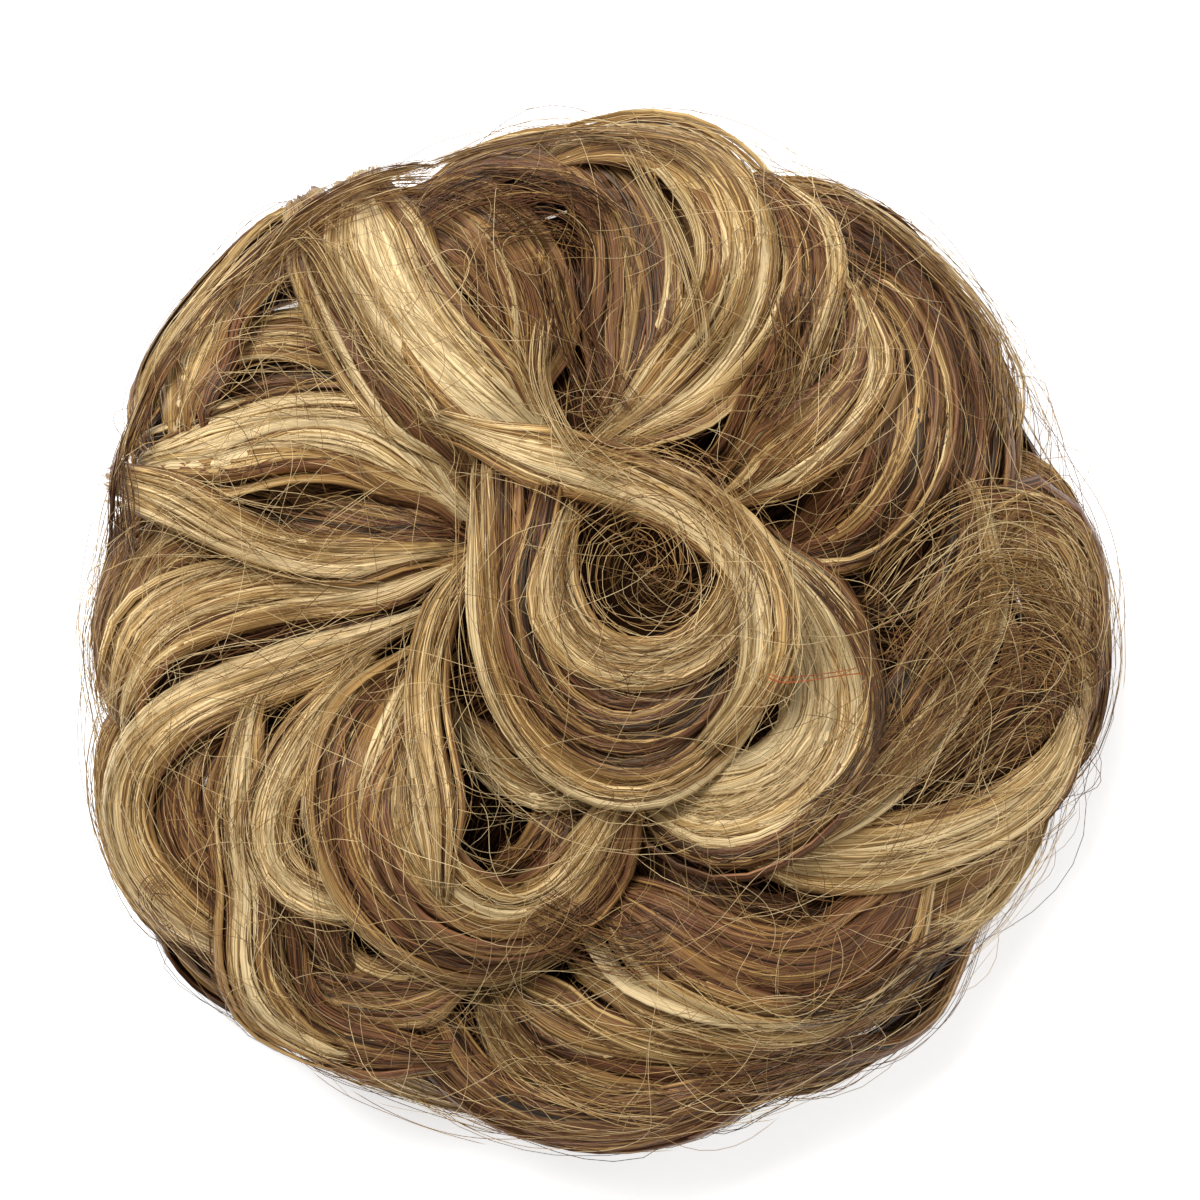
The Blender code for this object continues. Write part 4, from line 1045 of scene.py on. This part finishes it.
# tone, width as share of a full lock's, hairs, tints, route
wispRows = (
    ("tan", 1.3, 60, (0.7, 0.85, 0.6),
     ((0.58, 0.00), (0.65, 0.11), (0.75, 0.18), (0.86, 0.15), (0.94, 0.04))),
    ("tan", 1.6, 70, (0.5, 0.72, 0.55),
     ((0.60, -0.12), (0.70, -0.01), (0.81, 0.03), (0.91, -0.03), (0.95, -0.14))),
    ("brown", 1.6, 60, (0.35, 0.6, 0.5),
     ((0.55, -0.32), (0.67, -0.22), (0.79, -0.13), (0.89, -0.12), (0.95, -0.2))),
    ("blonde", 0.25, 22, (0.85,),
     ((-0.10, 0.62), (-0.11, 0.50), (-0.08, 0.40), (-0.03, 0.32), (0.05, 0.27))),
    ("blonde", 0.2, 16, (0.85,), ((0.05, 0.95), (0.10, 0.85), (0.15, 0.75), (0.19, 0.62), (0.20, 0.52))),
    ("blonde", 0.3, 26, (0.8,),
     ((-0.62, 0.80), (-0.55, 0.74), (-0.48, 0.62), (-0.42, 0.52), (-0.34, 0.44), (-0.30, 0.38))),
    ("blonde", 0.6, 30, (0.9, 0.6),
     ((0.42, 0.86), (0.55, 0.83), (0.68, 0.72), (0.78, 0.60), (0.80, 0.45), (0.78, 0.35))),
    ("tan", 0.5, 36, (0.62, 0.5),
     ((-0.35, 0.89), (-0.25, 0.95), (-0.12, 0.985), (0.02, 0.99), (0.15, 0.96), (0.24, 0.90))),
    ("tan", 0.6, 36, (0.5, 0.65),
     ((-0.22, -0.70), (-0.18, -0.78), (-0.10, -0.86), (0.02, -0.91), (0.15, -0.92))),
    ("brown", 0.6, 40, (0.25, 0.4), ((-0.08, 0.75), (-0.05, 0.60), (0.00, 0.48), (0.05, 0.40))),
    ("brown", 0.8, 50, (0.2, 0.32), ((-0.24, 0.79), (-0.15, 0.82), (-0.06, 0.815), (0.02, 0.77))),
    ("brown", 0.7, 44, (0.3, 0.45), ((-0.13, -0.51), (-0.04, -0.57), (0.05, -0.60), (0.15, -0.58))),
    ("rose", 0.5, 36, (0.4, 0.35), ((0.36, 0.66), (0.37, 0.55), (0.35, 0.45), (0.30, 0.38))),
    ("brown", 0.5, 36, (0.3, 0.45), ((-0.83, 0.60), (-0.88, 0.50), (-0.90, 0.40), (-0.88, 0.32))),
    ("brown", 0.5, 36, (0.3, 0.2), ((0.35, -0.71), (0.50, -0.70), (0.62, -0.63), (0.72, -0.59))),
    ("brown", 0.25, 20, (0.2,),
     ((0.36, 0.13), (0.47, 0.02), (0.52, -0.08), (0.52, -0.18), (0.46, -0.28), (0.36, -0.35))),
    ("tan", 0.7, 26, (0.45, 0.7),
     ((-0.65, 0.80), (-0.75, 0.70), (-0.82, 0.60), (-0.89, 0.50), (-0.92, 0.40), (-0.90, 0.32))),
    ("tan", 0.9, 70, (0.5, 0.7, 0.4),
     ((-0.76, 0.64), (-0.66, 0.76), (-0.54, 0.84), (-0.42, 0.88), (-0.30, 0.90))),
    ("brown", 0.6, 44, (0.4, 0.25),
     ((-0.86, 0.54), (-0.915, 0.44), (-0.94, 0.34), (-0.925, 0.24), (-0.94, 0.12))),
    ("rose", 0.5, 40, (0.4, 0.3), ((-0.36, 0.78), (-0.27, 0.85), (-0.16, 0.875), (-0.04, 0.86))),
    ("brown", 0.5, 40, (0.3, 0.4), ((0.15, -0.86), (0.28, -0.86), (0.42, -0.82), (0.55, -0.75))),
    ("tan", 1.5, 44, (0.5, 0.7, 0.5),
     ((-0.02, 0.21), (0.06, 0.26), (0.16, 0.22), (0.2, 0.1), (0.13, 0.01), (0.03, 0.05), (0.02, 0.15),
      (0.1, 0.19))),
    ("tan", 0.5, 9, (0.5, 0.4),
     ((-0.93, 0.16), (-0.99, 0.05), (-1.02, -0.05), (-0.99, -0.15), (-0.93, -0.22))),
    ("tan", 0.4, 9, (0.5, 0.4),
     ((-0.82, -0.48), (-0.91, -0.52), (-0.955, -0.58), (-0.92, -0.63), (-0.86, -0.60))),
)
# The loose hairs that run along with every lock
follow = {
    **wisps,
    "width": 2.2,  # against the lock's own
    "hairs": 11,
    "samples": 20,
    "radius": 0.05 * mm,
    "wander": 0.4,
    "endSpread": 0.4,
    "lift": (0.3 * mm, 1.6 * mm),
    "lighter": 0.2,
}


draping = {
    "edge": 0.96,  # of the outline radius; hairs that run on past it are drawn in
    "past": 0.35,
    "rounds": 6,
}


def draped(plan, lift):
    # Lays plan lines over the hair, as a stiff hair would lie
    reach = np.linalg.norm(plan, axis=-1, keepdims=True)
    edge = draping["edge"] * dome["outlineRadius"]
    drawn = np.where(reach > edge, edge + (reach - edge) * draping["past"], reach)
    plan = plan * drawn / np.maximum(reach, 1e-6)
    height = topMap.top(plan[..., 0], plan[..., 1])
    for _ in range(draping["rounds"]):
        height[:, 1:-1] = np.maximum(height[:, 1:-1], (height[:, :-2] + height[:, 2:]) / 2)
        height[:, 1:-1] = (height[:, :-2] + 2 * height[:, 1:-1] + height[:, 2:]) / 4
    return np.concatenate([plan, (height + lift)[..., None]], axis=-1)


def layFlyaways():
    rng = np.random.default_rng(flyaways["seed"])
    count, samples = flyaways["count"], flyaways["samples"]
    each = drawer(rng, count)

    radius = flyaways["reach"] * dome["outlineRadius"] * np.sqrt(each(0, 1))
    azimuth = each(0, math.tau)
    share = np.linspace(-0.5, 0.5, samples)
    step = each(*flyaways["length"]) / (samples - 1)
    direction = each(0, math.tau) + rng.normal(0, flyaways["bend"], (count, 1)) * share
    curl = flyaways["curl"] * each(0.2, 1)
    direction = direction + curl * np.sin(math.tau * (each(0.6, 2.2) * share + each(0, 1)))
    x = np.cumsum(np.cos(direction) * step, axis=1)
    y = np.cumsum(np.sin(direction) * step, axis=1)
    x += radius * np.cos(azimuth) - x.mean(axis=1, keepdims=True)
    y += radius * np.sin(azimuth) - y.mean(axis=1, keepdims=True)
    paths = draped(np.stack([x, y], axis=-1), each(*flyaways["lift"]) * (1 - 2 * share ** 2))
    radii = flyaways["radius"] * each(0.7, 1.2) + 0 * share
    tints = each(*flyaways["tints"]) + 0 * share
    tubes = Tubes()
    tubes.lay(paths, radii, radii, tints, np.broadcast_to([0.0, 0.0, 1.0], paths.shape))
    finishPiece(tubes.builder(), "flyaway_hairs", hair)


fuzz = {
    "count": 230,
    "samples": 13,
    "radius": 0.05 * mm,
    "reach": 0.97,  # of the outline radius
    "span": (0.15, 0.75),  # radians round the outline
    "polar": (1.0, 1.9),  # from straight up
    "sway": 0.22,
    "stand": 0.06,  # of the outline radius, past the locks
    "tints": (0.25, 0.8),
    "seed": 43,
}


def layFuzz():
    # Hairs that stand a little off the outline all round
    rng = np.random.default_rng(fuzz["seed"])
    count = fuzz["count"]
    each = drawer(rng, count)

    share = np.linspace(-0.5, 0.5, fuzz["samples"])
    azimuth = each(0, math.tau) + each(*fuzz["span"]) * rng.choice([-1, 1], (count, 1)) * share
    polar = each(*fuzz["polar"])
    sway = fuzz["sway"] * each(0.2, 1)
    polar = polar + sway * np.sin(math.tau * (each(0.3, 1.2) * share + each(0, 1)))
    stand = fuzz["stand"] * each(0.2, 1)
    reach = fuzz["reach"] + stand * (np.cos(math.pi * share) + 0.5 * np.sin(math.tau * (share + each(0, 1))))
    rise = np.where(polar < math.pi / 2, dome["crownRise"], dome["waistHeight"])
    flat = reach * dome["outlineRadius"] * np.sin(polar)
    height = dome["waistHeight"] + reach * rise * np.cos(polar)
    paths = np.stack([flat * np.cos(azimuth), flat * np.sin(azimuth), np.maximum(height, 1 * mm)], axis=-1)
    radii = fuzz["radius"] * each(0.7, 1.2) + 0 * share
    tints = each(*fuzz["tints"]) + 0 * share
    tubes = Tubes()
    tubes.lay(paths, radii, radii, tints, domeOutward(paths))
    finishPiece(tubes.builder(), "outline_fuzz", hair)


def strew(tubes, route, width, hairs, tints, sort, rng):
    # Hairs along a route, spread over its width and draped over the locks
    samples = sort["samples"]
    plan = smoothCurve(np.array(route) * dome["outlineRadius"], samples)
    heading = np.gradient(plan, axis=0)
    heading /= np.linalg.norm(heading, axis=1, keepdims=True)
    share = np.linspace(0, 1, samples)
    each = drawer(rng, hairs)
    start, stop = each(0, sort["endSpread"]), 1 - each(0, sort["endSpread"])
    place = start + (stop - start) * share
    spot = each(-1, 1) + sort["wander"] * np.sin(math.tau * (each(0.4, 1.5) * place + each(0, 1)))
    offset = spot * width * locks["width"] / 2
    x = np.interp(place, share, plan[:, 0]) - offset * np.interp(place, share, heading[:, 1])
    y = np.interp(place, share, plan[:, 1]) + offset * np.interp(place, share, heading[:, 0])
    paths = draped(np.stack([x, y], axis=-1), each(*sort["lift"]))
    radii = sort["radius"] * each(0.75, 1.2) + 0 * place
    shown = tintAcross(tints, spot) + rng.normal(0, sort["tintSpread"], (hairs, 1))
    tubes.lay(paths, radii, radii, shown, np.broadcast_to([0.0, 0.0, 1.0], paths.shape))


def layWisps():
    rng = np.random.default_rng(wisps["seed"])
    for tone in ("blonde", "tan", "rose", "brown"):
        tubes = Tubes()
        for wispTone, width, hairs, tints, route in wispRows:
            if wispTone == tone:
                strew(tubes, route, width, hairs, tints, wisps, rng)
        finishPiece(tubes.builder(), tone + "_wisps", hair)
    tubes = Tubes()
    for row in lockRows:
        lighter = np.array(row[-2]) + follow["lighter"]
        strew(tubes, row[-1], follow["width"] * row[2], follow["hairs"], lighter, follow, rng)
    finishPiece(tubes.builder(), "loose_hairs", hair)


threads = {
    "count": 2,
    "radius": 0.08 * mm,
    "route": ((0.29, -0.07), (0.33, -0.088), (0.38, -0.085), (0.44, -0.083), (0.50, -0.075)),
    "spread": 0.1,
    "dyes": ((0.0, (120, 40, 14)), (0.5, (196, 84, 36)), (1.0, (226, 128, 74))),
    "tints": (0.5,),
    "seed": 47,
}


def layThreads():
    # The two orange threads caught in the hair
    tubes = Tubes()
    sort = {**wisps, "radius": threads["radius"]}
    rng = np.random.default_rng(threads["seed"])
    strew(tubes, threads["route"], threads["spread"], threads["count"], threads["tints"], sort, rng)
    orange = dyedHair("orange_thread", {**hairLook, "dyes": threads["dyes"]})
    finishPiece(tubes.builder(), "orange_threads", orange)


layWisps()
layFlyaways()
layFuzz()
layThreads()
print("fine hairs laid:", flyaways["count"] + fuzz["count"])


# The table, light and camera

studio = {
    "aim": (0.3 * mm, 4.3 * mm, 20 * mm),
    "frameWidth": 174.8 * mm,
    "lens": 100,
    "floorSide": 4.0,
    "paperGlow": 0.5,  # the pale table is lit from below too
    "roomLight": 0.36,
    "lamps": (("key", (-0.30, 0.50, 0.95), 0.45, 12.3), ("fill", (0.8, 0.1, 0.8), 0.7, 2.7)),
}


def makeStudio():
    builder = bmesh.new()
    bmesh.ops.create_grid(builder, x_segments=1, y_segments=1, size=studio["floorSide"] / 2)
    mesh = bpy.data.meshes.new("table_top")
    builder.to_mesh(mesh)
    builder.free()
    paper = Bench("white_paper")
    grain = paper.noise(paper.node("ShaderNodeTexCoord", {}, {}, "Object"), 900.0)
    paper.plug(paper.shader.inputs["Roughness"], 0.85 + grain * 0.1)
    paper.shader.inputs["Base Color"].default_value = (0.95, 0.95, 0.95, 1)
    paper.shader.inputs["Emission Color"].default_value = (1, 1, 1, 1)
    paper.shader.inputs["Emission Strength"].default_value = studio["paperGlow"]
    mesh.materials.append(paper.finish)
    table = bpy.data.objects.new("table_top", mesh)
    bpy.context.scene.collection.objects.link(table)
    table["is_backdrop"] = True

    world = bpy.data.worlds.new("white_room")
    world.use_nodes = True
    world.node_tree.nodes["Background"].inputs["Color"].default_value = (1, 1, 1, 1)
    world.node_tree.nodes["Background"].inputs["Strength"].default_value = studio["roomLight"]
    bpy.context.scene.world = world
    bpy.context.scene.view_settings.view_transform = "Standard"

    for name, place, size, power in studio["lamps"]:
        light = bpy.data.lights.new(name, "AREA")
        light.size = size
        light.energy = power
        lamp = bpy.data.objects.new(name, light)
        lamp.location = place
        lamp.rotation_euler = (-Vector(place)).to_track_quat("-Z", "Y").to_euler()
        bpy.context.scene.collection.objects.link(lamp)

    camera = bpy.data.cameras.new("camera")
    camera.lens = studio["lens"]
    camera.clip_start = 0.01
    holder = bpy.data.objects.new("camera", camera)
    away = studio["frameWidth"] * camera.lens / camera.sensor_width
    holder.location = Vector(studio["aim"]) + Vector((0, 0, away))
    bpy.context.scene.collection.objects.link(holder)
    bpy.context.scene.camera = holder


makeStudio()

triangles = [sum(len(face.vertices) - 2 for face in piece.data.polygons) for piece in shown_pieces()]
print("triangles:", sum(triangles), "in the largest piece:", max(triangles))
